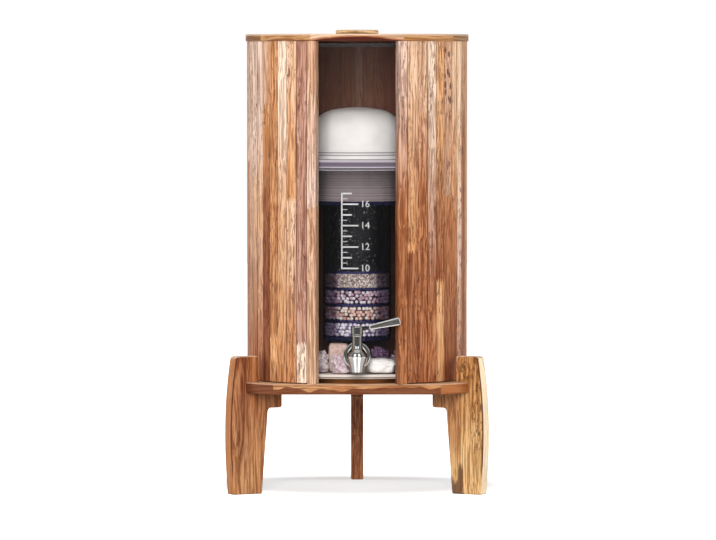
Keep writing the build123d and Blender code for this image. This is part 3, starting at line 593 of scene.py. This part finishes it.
def brushed_blade():
    """Grey face brushed along the lever, with a polished rim."""
    made, t = material("brushed_lever")
    outline = [along_lever(v.co.x, v.co.z) for v in nodes["lever_blade"].data.vertices]
    start, end = min(u for u, v in outline), max(u for u, v in outline)
    centre = (min(v for u, v in outline) + max(v for u, v in outline)) / 2
    wide = max(v for u, v in outline) - centre
    narrow = max(v for u, v in outline if u < start + 0.006) - centre
    x, y, z = t.split(t.place())
    along = t.plus(t.times(x, math.cos(LEVER_TILT)), t.times(z, math.sin(LEVER_TILT)))
    up = t.minus(t.times(z, math.cos(LEVER_TILT)), t.times(x, math.sin(LEVER_TILT)))
    share = t.math("DIVIDE", t.minus(along, start), end - start)
    half = t.range(share, narrow, wide)
    to_side = t.minus(half, t.absolute(t.minus(up, centre)))
    to_end = t.math("MINIMUM", t.minus(along, start), t.minus(end, along))
    face = t.step(t.math("MINIMUM", to_side, to_end), BLADE_RIM, BLADE_RIM * 1.6)
    face = t.times(face, t.step(t.absolute(t.facing()[1]), 0.8, 0.95))
    brush = t.noise(t.join(t.times(along, 60), t.times(y, 300), t.times(up, 900)), 3.0, 0.6)
    grey = t.mix(t.step(brush, 0.35, 0.65), srgb(52, 49, 46), srgb(98, 94, 90))
    colour = t.mix(face, srgb(232, 228, 222), grey)
    metal = {"Metallic": t.range(face, 0.5, 0.2)}
    t.opaque(colour, t.range(face, 0.2, 0.55), t.times(brush, face), 0.00005, metal)
    return made


def ringed_plastic(name, tone, groove, rings):
    """Moulded plastic whose turned grooves are painted grey as their shade; rings are their bottoms
    and tops.
    """
    made, t = material(name)
    place = t.place()
    z = t.split(place)[2]
    skin = t.noise(t.stretch(place, 900, 900, 900), 2.0)
    colour = t.shade(tone, t.range(skin, 0.96, 1.02))
    for bottom, top in rings:
        # Painted shade in each groove
        colour = t.mix(t.between(z, bottom, top, 0.0003), colour, groove)
    t.opaque(colour, t.range(skin, 0.22, 0.35), skin, 0.00005)
    return made


# ---------------------------- stone and bed materials


def ball_glaze(name, tones):
    """Fired clay balls, each of its own tone."""
    made, t = material(name)
    tint = t.node("Attribute", {}, attribute_name="tint").outputs["Fac"]
    cloud = t.noise(t.stretch(t.place(), 500, 500, 500), 2.0)
    tone = t.pick(t.math("FLOOR", t.times(tint, len(tones) - 0.01)), tones)
    colour = t.shade(tone, t.range(cloud, 0.85, 1.1))
    t.opaque(colour, t.range(cloud, 0.3, 0.55), cloud, 0.0001)
    return made


def grains(name, scale, tones, bright, glint):
    """Loose grains of chance tones, painted darker at their edges as shade between them, and a few
    painted bright as glints.
    """
    made, t = material(name)
    cell = t.cells(t.stretch(t.place(), scale, scale, scale))
    chance = t.split(cell["Color"])
    tone = t.pick(t.math("FLOOR", t.times(chance[0], len(tones) - 0.01)), tones)
    shine = t.math("GREATER_THAN", chance[1], 1.0 - glint)
    # Grain edges painted darker as shade between grains; a few grains painted bright as glints
    core = t.step(cell["Distance"], 0.66, 0.36)
    colour = t.mix(t.times(shine, core), t.mix(core, t.shade(tone, 0.45), tone), bright)
    height = t.minus(1.0, cell["Distance"])
    t.opaque(colour, t.range(chance[2], 0.3, 0.7), height, 0.0004)
    return made


def mineral(name, tone, vein, deep, roughness):
    """Crystal with clouds of a deeper colour and fine veins."""
    made, t = material(name)
    place = t.place()
    cloud = t.noise(t.stretch(place, 90, 90, 90), 4.0, 0.65)
    crack = t.cells(t.stretch(place, 110, 110, 110), "DISTANCE_TO_EDGE")["Distance"]
    colour = t.mix(t.step(cloud, 0.4, 0.62), deep, tone)
    colour = t.mix(t.times(t.step(crack, 0.06, 0.0), 0.5), colour, vein)
    rough = t.range(cloud, roughness * 0.7, roughness * 1.4)
    t.opaque(colour, rough, cloud, 0.0008, {"Coat Weight": 0.3})
    return made


# ---------------------------- new meshes


def add_piece(name, bm, made, body="filter", smooth=True):
    """Turns a bmesh into a piece that rides on a CAD body."""
    mesh = bpy.data.meshes.new(name)
    bm.to_mesh(mesh)
    bm.free()
    mesh.materials.append(made)
    if smooth:
        mesh.shade_smooth()
    piece = bpy.data.objects.new(name, mesh)
    bpy.context.scene.collection.objects.link(piece)
    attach(piece, body)
    return piece


BALL = 0.0031  # radius of the largest ceramic balls


def ball_bed(node, tones):
    """Ceramic balls packed against the cartridge's wall, in an outer ring and an inner ring painted
    dark as shade.
    """
    low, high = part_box(node)
    reach = (high.x - low.x) / 2
    rows = int((high.z - low.z) / (BALL * 1.75))
    rise = (high.z - low.z - 2 * BALL) / (rows - 1)
    bm = bmesh.new()
    tint = bm.verts.layers.float.new("tint")
    for row in range(rows):
        for ring, share in ((0, 0.97), (1, 0.94)):
            radius = reach - BALL * (1.02 + 1.8 * ring)
            count = int(math.pi * radius / BALL * share)
            for k in range(count):
                turn = 0.5 * ((row + ring) % 2) + random.uniform(-0.3, 0.3)
                angle = 2 * math.pi * (k + turn) / count
                size = BALL * random.uniform(0.84, 1.0)
                height = low.z + BALL + row * rise + random.uniform(-0.4, 0.4) * BALL
                height = min(max(height, low.z + size), high.z - size)
                spot = Vector((radius * math.sin(angle), AXIS_Y - radius * math.cos(angle), height))
                shift = Matrix.Translation(spot)
                shape = bmesh.ops.create_icosphere(bm, subdivisions=2, radius=size, matrix=shift)
                # The inner ring takes the last, dark tone: painted shade between the outer balls
                shade = 0.99 if ring else random.random() * 0.8
                for vertex in shape["verts"]:
                    vertex[tint] = shade
    piece = add_piece(node + "_balls", bm, ball_glaze(node + "_glaze", tones))
    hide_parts(node)


def grain_bed(node, made, size, depth):
    """A bed of grains behind the cartridge's wall: a closed drum with a pebbled skin."""
    low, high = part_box(node)
    reach = (high.x - low.x) / 2
    columns = int(2 * math.pi * reach / (size * 0.5))
    rows = int((high.z - low.z) / (size * 0.5))
    bm = bmesh.new()
    rings = []
    for row in range(rows + 1):
        z = low.z + (high.z - low.z) * row / rows
        ring = []
        for column in range(columns):
            angle = 2 * math.pi * column / columns
            way = Vector((math.sin(angle), -math.cos(angle), 0))
            spot = way * reach + Vector((0, AXIS_Y, z))
            near = noise.voronoi(spot / size)[0][0]
            ring.append(bm.verts.new(spot - way * depth * min(1.0, near * 1.3)))
        rings.append(ring)
    for lower, upper in zip(rings, rings[1:]):
        for k in range(columns):
            after = (k + 1) % columns
            bm.faces.new((lower[k], lower[after], upper[after], upper[k]))
    bm.faces.new(list(reversed(rings[0])))
    bm.faces.new(rings[-1])
    piece = add_piece(node + "_grains", bm, made)
    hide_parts(node)


SQUARENESS = 0.8  # of a broken lump: 0 for a ball and 1 for a box


def rock(low, high, points, roughness):
    """A broken lump between two corners: the hull of chance points, bevelled and roughened."""
    centre, half = (low + high) / 2, (high - low) / 2
    bm = bmesh.new()
    for _ in range(points):
        way = Vector([random.gauss(0, 1) for _ in range(3)]).normalized()
        stretch = max(abs(c) for c in way) ** -SQUARENESS
        way = Vector([max(-1.0, min(1.0, c * stretch)) for c in way])
        bm.verts.new(centre + Vector([c * h for c, h in zip(way, half)]))
    hull = bmesh.ops.convex_hull(bm, input=bm.verts)
    bmesh.ops.delete(bm, geom=hull["geom_interior"], context="VERTS")
    bmesh.ops.bevel(bm, geom=bm.edges[:], offset=min(half) * 0.06, segments=2, affect="EDGES")
    bmesh.ops.triangulate(bm, faces=bm.faces[:])
    bmesh.ops.subdivide_edges(bm, edges=bm.edges[:], cuts=2, use_grid_fill=True)
    for vertex in bm.verts:
        push = noise.noise(vertex.co * 160) + 0.5 * noise.noise(vertex.co * 420)
        vertex.co += (centre - vertex.co).normalized() * roughness * (push + 1)
        vertex.co.z = max(vertex.co.z, low.z)
    return bm


def boulder(low, high, power, roughness):
    """A worn block that fills the space between two corners: boxier the higher the power."""
    centre, half = (low + high) / 2, (high - low) / 2
    bm = bmesh.new()
    bmesh.ops.create_icosphere(bm, subdivisions=5, radius=1.0)
    for vertex in bm.verts:
        way = vertex.co.normalized()
        reach = sum(abs(c) ** power for c in way) ** (-1 / power)
        dent = noise.noise(way * 2.1) + 0.5 * noise.noise(way * 6.0) + 0.25 * noise.noise(way * 15.0)
        inward = reach * (1 - roughness * (dent + 0.9))
        vertex.co = centre + Vector([c * h * inward for c, h in zip(way, half)])
        vertex.co.z = max(vertex.co.z, low.z)
    return bm


def add_crystal(bm, foot, way, radius, length):
    """A six-sided crystal with a pointed end."""
    at = Matrix.Translation(foot) @ way.to_track_quat("Z", "Y").to_matrix().to_4x4()
    start = random.uniform(0, math.pi / 3)
    rings = []
    for height, width in ((0.0, 0.9), (0.68, 1.0)):
        ring = []
        for k in range(6):
            angle = start + k * math.pi / 3
            right = math.cos(angle) * radius * width
            ahead = math.sin(angle) * radius * width
            ring.append(bm.verts.new(at @ Vector((right, ahead, length * height))))
        rings.append(ring)
    aside = [random.uniform(-0.3, 0.3) * radius for _ in range(2)]
    tip = bm.verts.new(at @ Vector((*aside, length)))
    for k in range(6):
        after = (k + 1) % 6
        bm.faces.new((rings[0][k], rings[0][after], rings[1][after], rings[1][k]))
        bm.faces.new((rings[1][k], rings[1][after], tip))
    bm.faces.new(list(reversed(rings[0])))


CRYSTALS = 60  # tried in each cluster; those that would leave its box are dropped
CRYSTAL_RADIUS = (0.0024, 0.0052)
CRYSTAL_LENGTH = (0.008, 0.017)


def crystals(name, low, high, made):
    """A cluster of crystals that points up and outwards from its matrix."""
    centre, half = (low + high) / 2, (high - low) / 2
    top = low.z + (high.z - low.z) * 0.55
    bm = rock(low, Vector((high.x, high.y, top)), points=26, roughness=0.0012)
    for _ in range(CRYSTALS):
        turn = random.uniform(0, 2 * math.pi)
        lean = random.uniform(0, 1) ** 0.7
        way = Vector((math.cos(turn) * lean, math.sin(turn) * lean, random.uniform(0.35, 1.0)))
        way.normalize()
        radius = random.uniform(*CRYSTAL_RADIUS)
        length = random.uniform(*CRYSTAL_LENGTH)
        foot = Vector((
            centre.x + way.x * half.x * 0.62,
            centre.y + way.y * half.y * 0.62,
            low.z + (high.z - low.z) * (0.2 + 0.4 * way.z),
        ))
        tip = foot + way * length
        if all(low[k] <= tip[k] <= high[k] for k in range(3)):
            add_crystal(bm, foot, way, radius, length)
    return add_piece(name, bm, made, smooth=False)


# Litre marks on the lower tank: the first and last litre, the floor inside and the height of one
FIRST_LITRE, LAST_LITRE = 10, 17
TANK_FLOOR = TANK_LOW.z + 0.007
LITRE_HEIGHT = 0.0165
DIGIT_HEIGHT = 0.0105
PRINT_STANDOFF = 0.00025
PRINT_THICKNESS = 0.00012
UPRIGHT = (-0.0245, -0.0225)  # left and right edge of the scale's upright line
TICK_LEFT = -0.022
LONG_TICK, TICK, HALF_TICK = 0.002, -0.008, -0.015  # where the ticks end on the right
BOLD, FINE = 0.0011, 0.0005  # half thicknesses of the lines
NUMBER_LEFT = 0.005


def digits(text, left, middle):
    """Flat triangles of a number from Blender's own font, as (x, z) corners."""
    curve = bpy.data.curves.new("digits", "FONT")
    curve.body = text
    curve.align_y = "CENTER"
    curve.size = DIGIT_HEIGHT * 1.4
    curve.resolution_u = 3
    shape = bpy.data.objects.new("digits", curve)
    mesh = shape.to_mesh()
    mesh.calc_loop_triangles()
    corners = [vertex.co for vertex in mesh.vertices]
    faces = []
    for triangle in mesh.loop_triangles:
        spots = [corners[k] for k in triangle.vertices]
        faces.append([(spot.x + left, spot.y + middle) for spot in spots])
    shape.to_mesh_clear()
    bpy.data.objects.remove(shape)
    bpy.data.curves.remove(curve)
    return faces


def bar(left, right, bottom, top):
    """A flat bar as rows of small quads, so that it bends with the glass."""
    steps = max(1, int((right - left) / 0.002))
    edges = [left + (right - left) * k / steps for k in range(steps + 1)]
    return [[(a, bottom), (b, bottom), (b, top), (a, top)] for a, b in zip(edges, edges[1:])]


def level_scale():
    """A plain frosted level scale on the front of the lower tank."""
    faces = []
    for litre in range(FIRST_LITRE, LAST_LITRE + 1):
        z = TANK_FLOOR + litre * LITRE_HEIGHT
        is_long = litre % 2 == 0
        faces += bar(TICK_LEFT, LONG_TICK if is_long else TICK, z - BOLD, z + BOLD)
        if is_long:
            faces += digits(str(litre), NUMBER_LEFT, z)
    for litre in range(FIRST_LITRE, LAST_LITRE):
        z = TANK_FLOOR + (litre + 0.5) * LITRE_HEIGHT
        faces += bar(TICK_LEFT, HALF_TICK, z - FINE, z + FINE)
    bottom = TANK_FLOOR + FIRST_LITRE * LITRE_HEIGHT - BOLD
    top = TANK_FLOOR + LAST_LITRE * LITRE_HEIGHT + BOLD
    faces += bar(*UPRIGHT, bottom, top)
    back = TANK_RADIUS + PRINT_STANDOFF
    skins = ((back + PRINT_THICKNESS, 1), (back, -1))  # radius, and which way round its faces run
    bm = bmesh.new()
    for face in faces:
        for radius, order in skins:
            corners = []
            for x, z in face[::order]:
                angle = x / TANK_RADIUS
                spot = (radius * math.sin(angle), AXIS_Y - radius * math.cos(angle), z)
                corners.append(bm.verts.new(spot))
            bm.faces.new(corners)
    made = moulded("frosted_print", srgb(206, 206, 204), srgb(190, 191, 190), 0.7, 1500.0)
    piece = add_piece("level_scale", bm, made, smooth=False)


# ---------------------------- light, floor and camera

PHOTO_WIDTH = 716
PHOTO_HEIGHT = 540
METRES_PER_PIXEL = 0.001567  # at the casing's axis
AXIS_X_PIXEL = 357.1
AXIS_FOOT_PIXEL = 489.4
HORIZON_PIXEL = 60.0
CAMERA_DISTANCE = 8.1
SENSOR = 36.0


def add_camera():
    """A long lens, level with the casing's top."""
    data = bpy.data.cameras.new("camera")
    camera = bpy.data.objects.new("camera", data)
    bpy.context.scene.collection.objects.link(camera)
    focal_pixels = CAMERA_DISTANCE / METRES_PER_PIXEL
    data.sensor_width = SENSOR
    data.lens = focal_pixels * SENSOR / PHOTO_WIDTH
    data.clip_end = 60.0
    pitch = math.atan((PHOTO_HEIGHT / 2 - HORIZON_PIXEL) / focal_pixels)
    height = (AXIS_FOOT_PIXEL - HORIZON_PIXEL) * METRES_PER_PIXEL
    aside = (PHOTO_WIDTH / 2 - AXIS_X_PIXEL) * METRES_PER_PIXEL
    camera.location = (aside, AXIS_Y - CAMERA_DISTANCE, height)
    camera.rotation_euler = (math.pi / 2 - pitch, 0, 0)
    bpy.context.scene.camera = camera


LAMP_DISTANCE = 2.6
LAMP_TARGET = Vector((0, AXIS_Y, 0.4))


def add_softbox(name, turn, rise, width, height, watts):
    """A soft lamp that faces the object, at a heading from straight ahead and a rise above level."""
    data = bpy.data.lights.new(name, "AREA")
    data.shape = "RECTANGLE"
    data.size = width
    data.size_y = height
    data.energy = watts
    lamp = bpy.data.objects.new(name, data)
    bpy.context.scene.collection.objects.link(lamp)
    turn, rise = math.radians(turn), math.radians(rise)
    level = math.cos(rise)
    way = Vector((math.sin(turn) * level, -math.cos(turn) * level, math.sin(rise)))
    lamp.location = LAMP_TARGET + way * LAMP_DISTANCE
    lamp.rotation_euler = (LAMP_TARGET - lamp.location).to_track_quat("-Z", "Y").to_euler()
    lamp.visible_glossy = False


ROOM_LIGHT = 0.12
PANEL = (0.20, 0.70, 0.04)  # a bright panel on either side: from and to, by heading, and softness
WINGS = (1.0, 1.75, 0.15)  # a dimmer wall on either side
WING_STRENGTH = 0.26
BACK = (2.2, 2.7)  # headings over which the mirrored room turns into the white background


def add_world():
    """Soft grey room light; what is mirrored is a studio with two raised panels and a white back."""
    world = bpy.data.worlds.new("studio")
    bpy.context.scene.world = world
    world.use_nodes = True
    t = Tree(world.node_tree)
    path = t.node("LightPath", {}).outputs
    x, y, z = t.split(t.node("TexCoord", {}).outputs["Generated"])
    turn = t.absolute(t.math("ARCTAN2", x, t.times(y, -1.0)))
    panels = t.times(t.between(turn, *PANEL), t.between(z, 0.10, 0.75, 0.04), 1.5)
    wings = t.times(t.between(turn, *WINGS), WING_STRENGTH)
    back = t.times(t.step(turn, *BACK), 0.95)
    above = t.times(t.step(z, 0.8, 0.95), 0.6)
    studio = t.math("MAXIMUM", t.math("MAXIMUM", panels, back), t.math("MAXIMUM", above, wings))
    studio = t.math("MAXIMUM", studio, 0.08)
    strength = t.mix(path["Is Glossy Ray"], t.join(ROOM_LIGHT, 0, 0), t.join(studio, 0, 0))
    strength = t.split(strength)[0]
    seen = t.math("MAXIMUM", path["Is Camera Ray"], path["Is Transmission Ray"])
    strength = t.math("MAXIMUM", strength, seen)
    background = t.node("Background", {"Color": WHITE, "Strength": strength}).outputs[0]
    t.node("OutputWorld", {0: background})


def add_floor():
    """Pale floor that runs into the white background and keeps the object's shadow. In the
    tap's chrome it mirrors the studio's walls, as they would stand on it."""
    mesh = bpy.data.meshes.new("floor")
    bm = bmesh.new()
    bmesh.ops.create_grid(bm, x_segments=2, y_segments=2, size=9.0)
    bm.to_mesh(mesh)
    bm.free()
    floor = bpy.data.objects.new("floor", mesh)
    bpy.context.scene.collection.objects.link(floor)
    made, t = material("pale_floor")
    path = t.node("LightPath", {}).outputs
    seen = t.math("MAXIMUM", path["Is Camera Ray"], path["Is Transmission Ray"])
    away = t.node("VectorMath", {0: t.place()}, operation="LENGTH").outputs["Value"]
    under = t.stretch(t.vector("SUBTRACT", t.place(), (0.0, 0.06, 0.0)), 3.7, 4.6, 1.0)
    near = t.node("VectorMath", {0: under}, operation="LENGTH").outputs["Value"]
    shown = t.times(seen, t.plus(0.42, t.step(near, 0.6, 1.3)))
    x, y, _ = t.split(t.place())
    ahead = t.minus(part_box("tap_flange")[0].y, y)
    turn = t.absolute(t.math("ARCTAN2", x, ahead))
    bars = t.times(t.between(turn, *PANEL), t.step(away, 3.0, 2.0), 1.1)
    wings = t.times(t.between(turn, *WINGS), t.step(away, 1.4, 2.0), WING_STRENGTH)
    mirrored = t.math("MAXIMUM", t.math("MAXIMUM", bars, wings), t.step(turn, *BACK))
    glow = t.plus(shown, t.times(path["Is Glossy Ray"], mirrored))
    lit = t.node("BsdfDiffuse", {"Color": (0.6, 0.6, 0.6, 1)}).outputs[0]
    shine = t.node("Emission", {"Color": WHITE, "Strength": glow}).outputs[0]
    t.surface(t.node("AddShader", {0: lit, 1: shine}).outputs[0])
    mesh.materials.append(made)


# ---------------------------- dressing the frame

paint(stave_wood(), "staves_left", "staves_rear", "staves_right", "post_left", "post_right")

# Planked pieces: node, material, the first plank's width and the others', tones, arch, and edge
LID_TONES = (TAN, srgb(172, 118, 68), srgb(130, 90, 54), AMBER)
# The base disc's very dark tones are painted shade under the tank and casing
DISC_SHADE_TONES = (srgb(66, 30, 8), srgb(48, 20, 6))
PLANKED = (
    ("lid_board", "lid_acacia", 0.0156, 0.0684, LID_TONES, 0.42, lid_edge),
    ("stand_board", "board_acacia", 0.07, 0.07, (AMBER, GOLD, RUST, AMBER), 0.1, board_edge),
    ("lid_knob", "knob_acacia", 0.08, 0.08, (srgb(222, 178, 124),), 0.1, None),
    ("base_disc", "disc_acacia", 0.06, 0.06, DISC_SHADE_TONES, 0.1, disc_edge),
    ("lid_cleats", "cleat_acacia", 0.05, 0.05, (PLUM, UMBER), 0.1, None),
)
for node, name, *look in PLANKED:
    paint(plank_wood(name, node, *look), node)

# Legs: side, heading, tones above and at the foot, band, tone of the outer edge, and figure
FRONT_LEG = math.radians(60)
RED_LEG, DARK_LEG, LEG_EDGE = srgb(162, 96, 54), srgb(132, 74, 42), srgb(176, 116, 72)
GOLDEN_LEG, GOLDEN_FOOT, SAPWOOD = srgb(200, 138, 76), srgb(232, 180, 116), srgb(246, 222, 186)
LEFT_BAND, RIGHT_BAND = (UMBER, 0.199, 0.216), (srgb(178, 116, 72), 0.100, 0.186)
REAR_BAND = (UMBER, 0.190, 0.210)
LEGS = (
    ("left", -FRONT_LEG, RED_LEG, AMBER, LEFT_BAND, LEG_EDGE, 0.35, None),
    ("right", FRONT_LEG, GOLDEN_LEG, GOLDEN_FOOT, RIGHT_BAND, SAPWOOD, 0.3, knotty_margin),
    ("rear", math.pi, DARK_LEG, CHESTNUT, REAR_BAND, DARK_LEG, 0.5, None),
)
for side, *look in LEGS:
    paint(leg_wood("leg_acacia_" + side, *look), "leg_" + side)
paint(plywood(), "top_hoop", "bottom_hoop")

TANK_BANDS = (
    (TANK_LOW.z, TANK_FLOOR + 0.0006, srgb(246, 234, 224), 0.8),
    (TANK_LOW.z + 0.0026, TANK_LOW.z + 0.0038, srgb(104, 90, 80), 0.9),
    (TANK_LOW.z, TANK_LOW.z + 0.0012, srgb(150, 136, 124), 0.9),
    (TANK_HIGH.z - 0.0012, TANK_HIGH.z, srgb(196, 192, 200), 0.6),
)
# Near-black bands at the vessel's rim: partly its dark rim, partly painted shadow of the gap under
# the lid
VESSEL_BANDS = (
    (VESSEL_HIGH.z - 0.0057, VESSEL_HIGH.z - 0.0047, srgb(56, 46, 44), 0.3),
    (VESSEL_HIGH.z - 0.0044, VESSEL_HIGH.z - 0.0027, srgb(14, 10, 12), 0.95),
    (VESSEL_HIGH.z - 0.0026, VESSEL_HIGH.z - 0.0014, srgb(46, 40, 38), 0.9),
    (VESSEL_HIGH.z - 0.0013, VESSEL_HIGH.z, srgb(10, 8, 10), 0.95),
    (TANK_HIGH.z + 0.0112, TANK_HIGH.z + 0.0152, srgb(196, 188, 196), 0.75),
    (TANK_HIGH.z + 0.0045, TANK_HIGH.z + 0.0111, srgb(122, 110, 124), 0.72),
    (TANK_HIGH.z + 0.0030, TANK_HIGH.z + 0.0044, srgb(196, 190, 202), 0.75),
    (TANK_HIGH.z + 0.0010, TANK_HIGH.z + 0.0029, srgb(120, 108, 118), 0.6),
)
# Clear walls: node, material, tint, bands, veil, where the tint starts and ends, and level lines
CLEAR = (
    ("lower_tank", "tank_glass", srgb(200, 204, 206), TANK_BANDS, 0.005, 0.5, 1.0, 0.0),
    ("upper_vessel", "vessel_clear", srgb(226, 220, 222), VESSEL_BANDS, 0.006, 0.5, 1.0, 0.0),
    # The shell's tint starts early, painting shade on the beds' sides behind it
    ("cartridge_shell", "shell_clear", srgb(212, 206, 216), (), 0.0, 0.14, 0.26, 0.0),
    ("cartridge_head", "head_clear", srgb(160, 146, 148), (), 0.68, 0.3, 1.0, 1.1),
)
for node, *look in CLEAR:
    paint(clear_wall(*look), node)

# Moulded, fired and metal pieces: material, two tones, the rest of its look, and its nodes
FIRED = (0.6, 1400.0, 0.0001)  # roughness, fineness and relief, and for metals 1.0
CHROMED = (0.05, 600.0, 0.000004, 1.0)
TURNED = (0.3, 900.0, 0.00001, 1.0)
TAP_METAL = ("tap_body", "tap_flange", "tap_nut", "bonnet_ring", "lever_hub", "valve_core")
SCREWS = ("leg_screws", "casing_screws", "knob_screw", "hub_screw")
SEALS = ("dome_seal", "outer_washer", "inner_washer", "valve_o_rings")
NAVY = ("cartridge_ring", "cartridge_base")
MOULDED = (
    ("dome_ceramic", srgb(246, 243, 239), srgb(238, 234, 230), FIRED, ("ceramic_dome",)),
    ("navy_plastic", srgb(28, 29, 60), srgb(18, 19, 40), (0.25,), NAVY),
    ("violet_plastic", srgb(60, 57, 100), srgb(38, 36, 70), (0.25,), ("cartridge_separators",)),
    ("black_plastic", srgb(24, 22, 24), srgb(14, 13, 14), (0.3,), ("lever_neck",)),
    ("silicone", srgb(205, 205, 205), srgb(190, 190, 192), (0.55,), SEALS),
    ("tap_chrome", srgb(228, 227, 224), srgb(218, 217, 214), CHROMED, TAP_METAL),
    ("screw_steel", srgb(190, 188, 185), srgb(160, 158, 156), TURNED, SCREWS),
)
for name, tone, speck, skin, painted in MOULDED:
    paint(moulded(name, tone, speck, *skin), *painted)
base_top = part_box("dome_base")[1].z
grooves = ((base_top - 0.0053, base_top - 0.0033), (base_top - 0.0093, base_top - 0.0073))
white = ringed_plastic("white_plastic", srgb(244, 241, 239), srgb(176, 170, 170), grooves)
paint(white, "dome_base", "dome_nut")
paint(brushed_blade(), "lever_blade")

# Four tones of the outer balls, and one dark tone painted on the balls behind them as shade
pink_balls = (srgb(240, 226, 230), srgb(220, 186, 196), srgb(236, 228, 238), srgb(196, 160, 178))
warm_balls = (srgb(246, 226, 212), srgb(240, 204, 190), srgb(250, 238, 230), srgb(224, 172, 162))
lilac_balls = (srgb(250, 246, 252), srgb(236, 226, 244), srgb(252, 250, 252), srgb(244, 238, 248))
ball_bed("ball_bed_upper", (*pink_balls, srgb(84, 56, 74)))
ball_bed("ball_bed_middle", (*warm_balls, srgb(124, 84, 80)))
ball_bed("ball_bed_lower", (*lilac_balls, srgb(150, 130, 172)))
# The carbon's bright grains are painted glints
carbon_tones = (srgb(12, 12, 14), srgb(30, 30, 34), srgb(18, 18, 22))
carbon_grains = grains("carbon_grains", 700.0, carbon_tones, srgb(170, 170, 178), 0.04)
grain_bed("carbon_bed", carbon_grains, size=0.0022, depth=0.0005)
granule_tones = (srgb(226, 206, 194), srgb(184, 158, 152), srgb(244, 232, 222), srgb(146, 120, 120))
granules = grains("granule_grains", 420.0, granule_tones, srgb(244, 236, 228), 0.15)
grain_bed("granule_bed", granules, size=0.0020, depth=0.0006)

rose = mineral("rose_quartz", srgb(222, 192, 178), srgb(240, 222, 212), srgb(198, 164, 152), 0.3)
snow = mineral("white_quartz", srgb(255, 252, 248), srgb(246, 238, 238), srgb(252, 245, 240), 0.4)
cluster_minerals = (
    mineral("pale_quartz", srgb(216, 202, 200), srgb(244, 240, 238), srgb(158, 134, 144), 0.2),
    mineral("blush_amethyst", srgb(242, 228, 226), srgb(252, 248, 246), srgb(206, 172, 188), 0.2),
    mineral("violet_amethyst", srgb(116, 86, 118), srgb(164, 142, 162), srgb(66, 42, 70), 0.18),
    mineral("smoky_amethyst", srgb(178, 160, 166), srgb(242, 234, 230), srgb(110, 86, 100), 0.2),
)
for number, (corners, made) in enumerate(zip(solids_of("amethysts"), cluster_minerals)):
    piece = crystals(f"crystals_{number}", *corners, made)
    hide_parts("amethysts")
piece = add_piece("rose_block", boulder(*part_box("rose_quartz"), power=7.0, roughness=0.03), rose)
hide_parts("rose_quartz")
piece = add_piece("white_block", boulder(*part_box("white_quartz"), power=3.6, roughness=0.1), snow)
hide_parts("white_quartz")
level_scale()

# ---------------------------- room

add_world()
add_floor()
add_softbox("lamp_front", -3, 14, 0.9, 1.2, 57.5)
add_softbox("lamp_left", -95, 15, 1.0, 1.8, 43.0)
add_softbox("lamp_right", 95, 15, 1.0, 1.8, 43.0)
add_softbox("lamp_top", 0, 62, 1.8, 1.2, 12.0)
add_camera()
bpy.context.scene.view_settings.view_transform = "Standard"
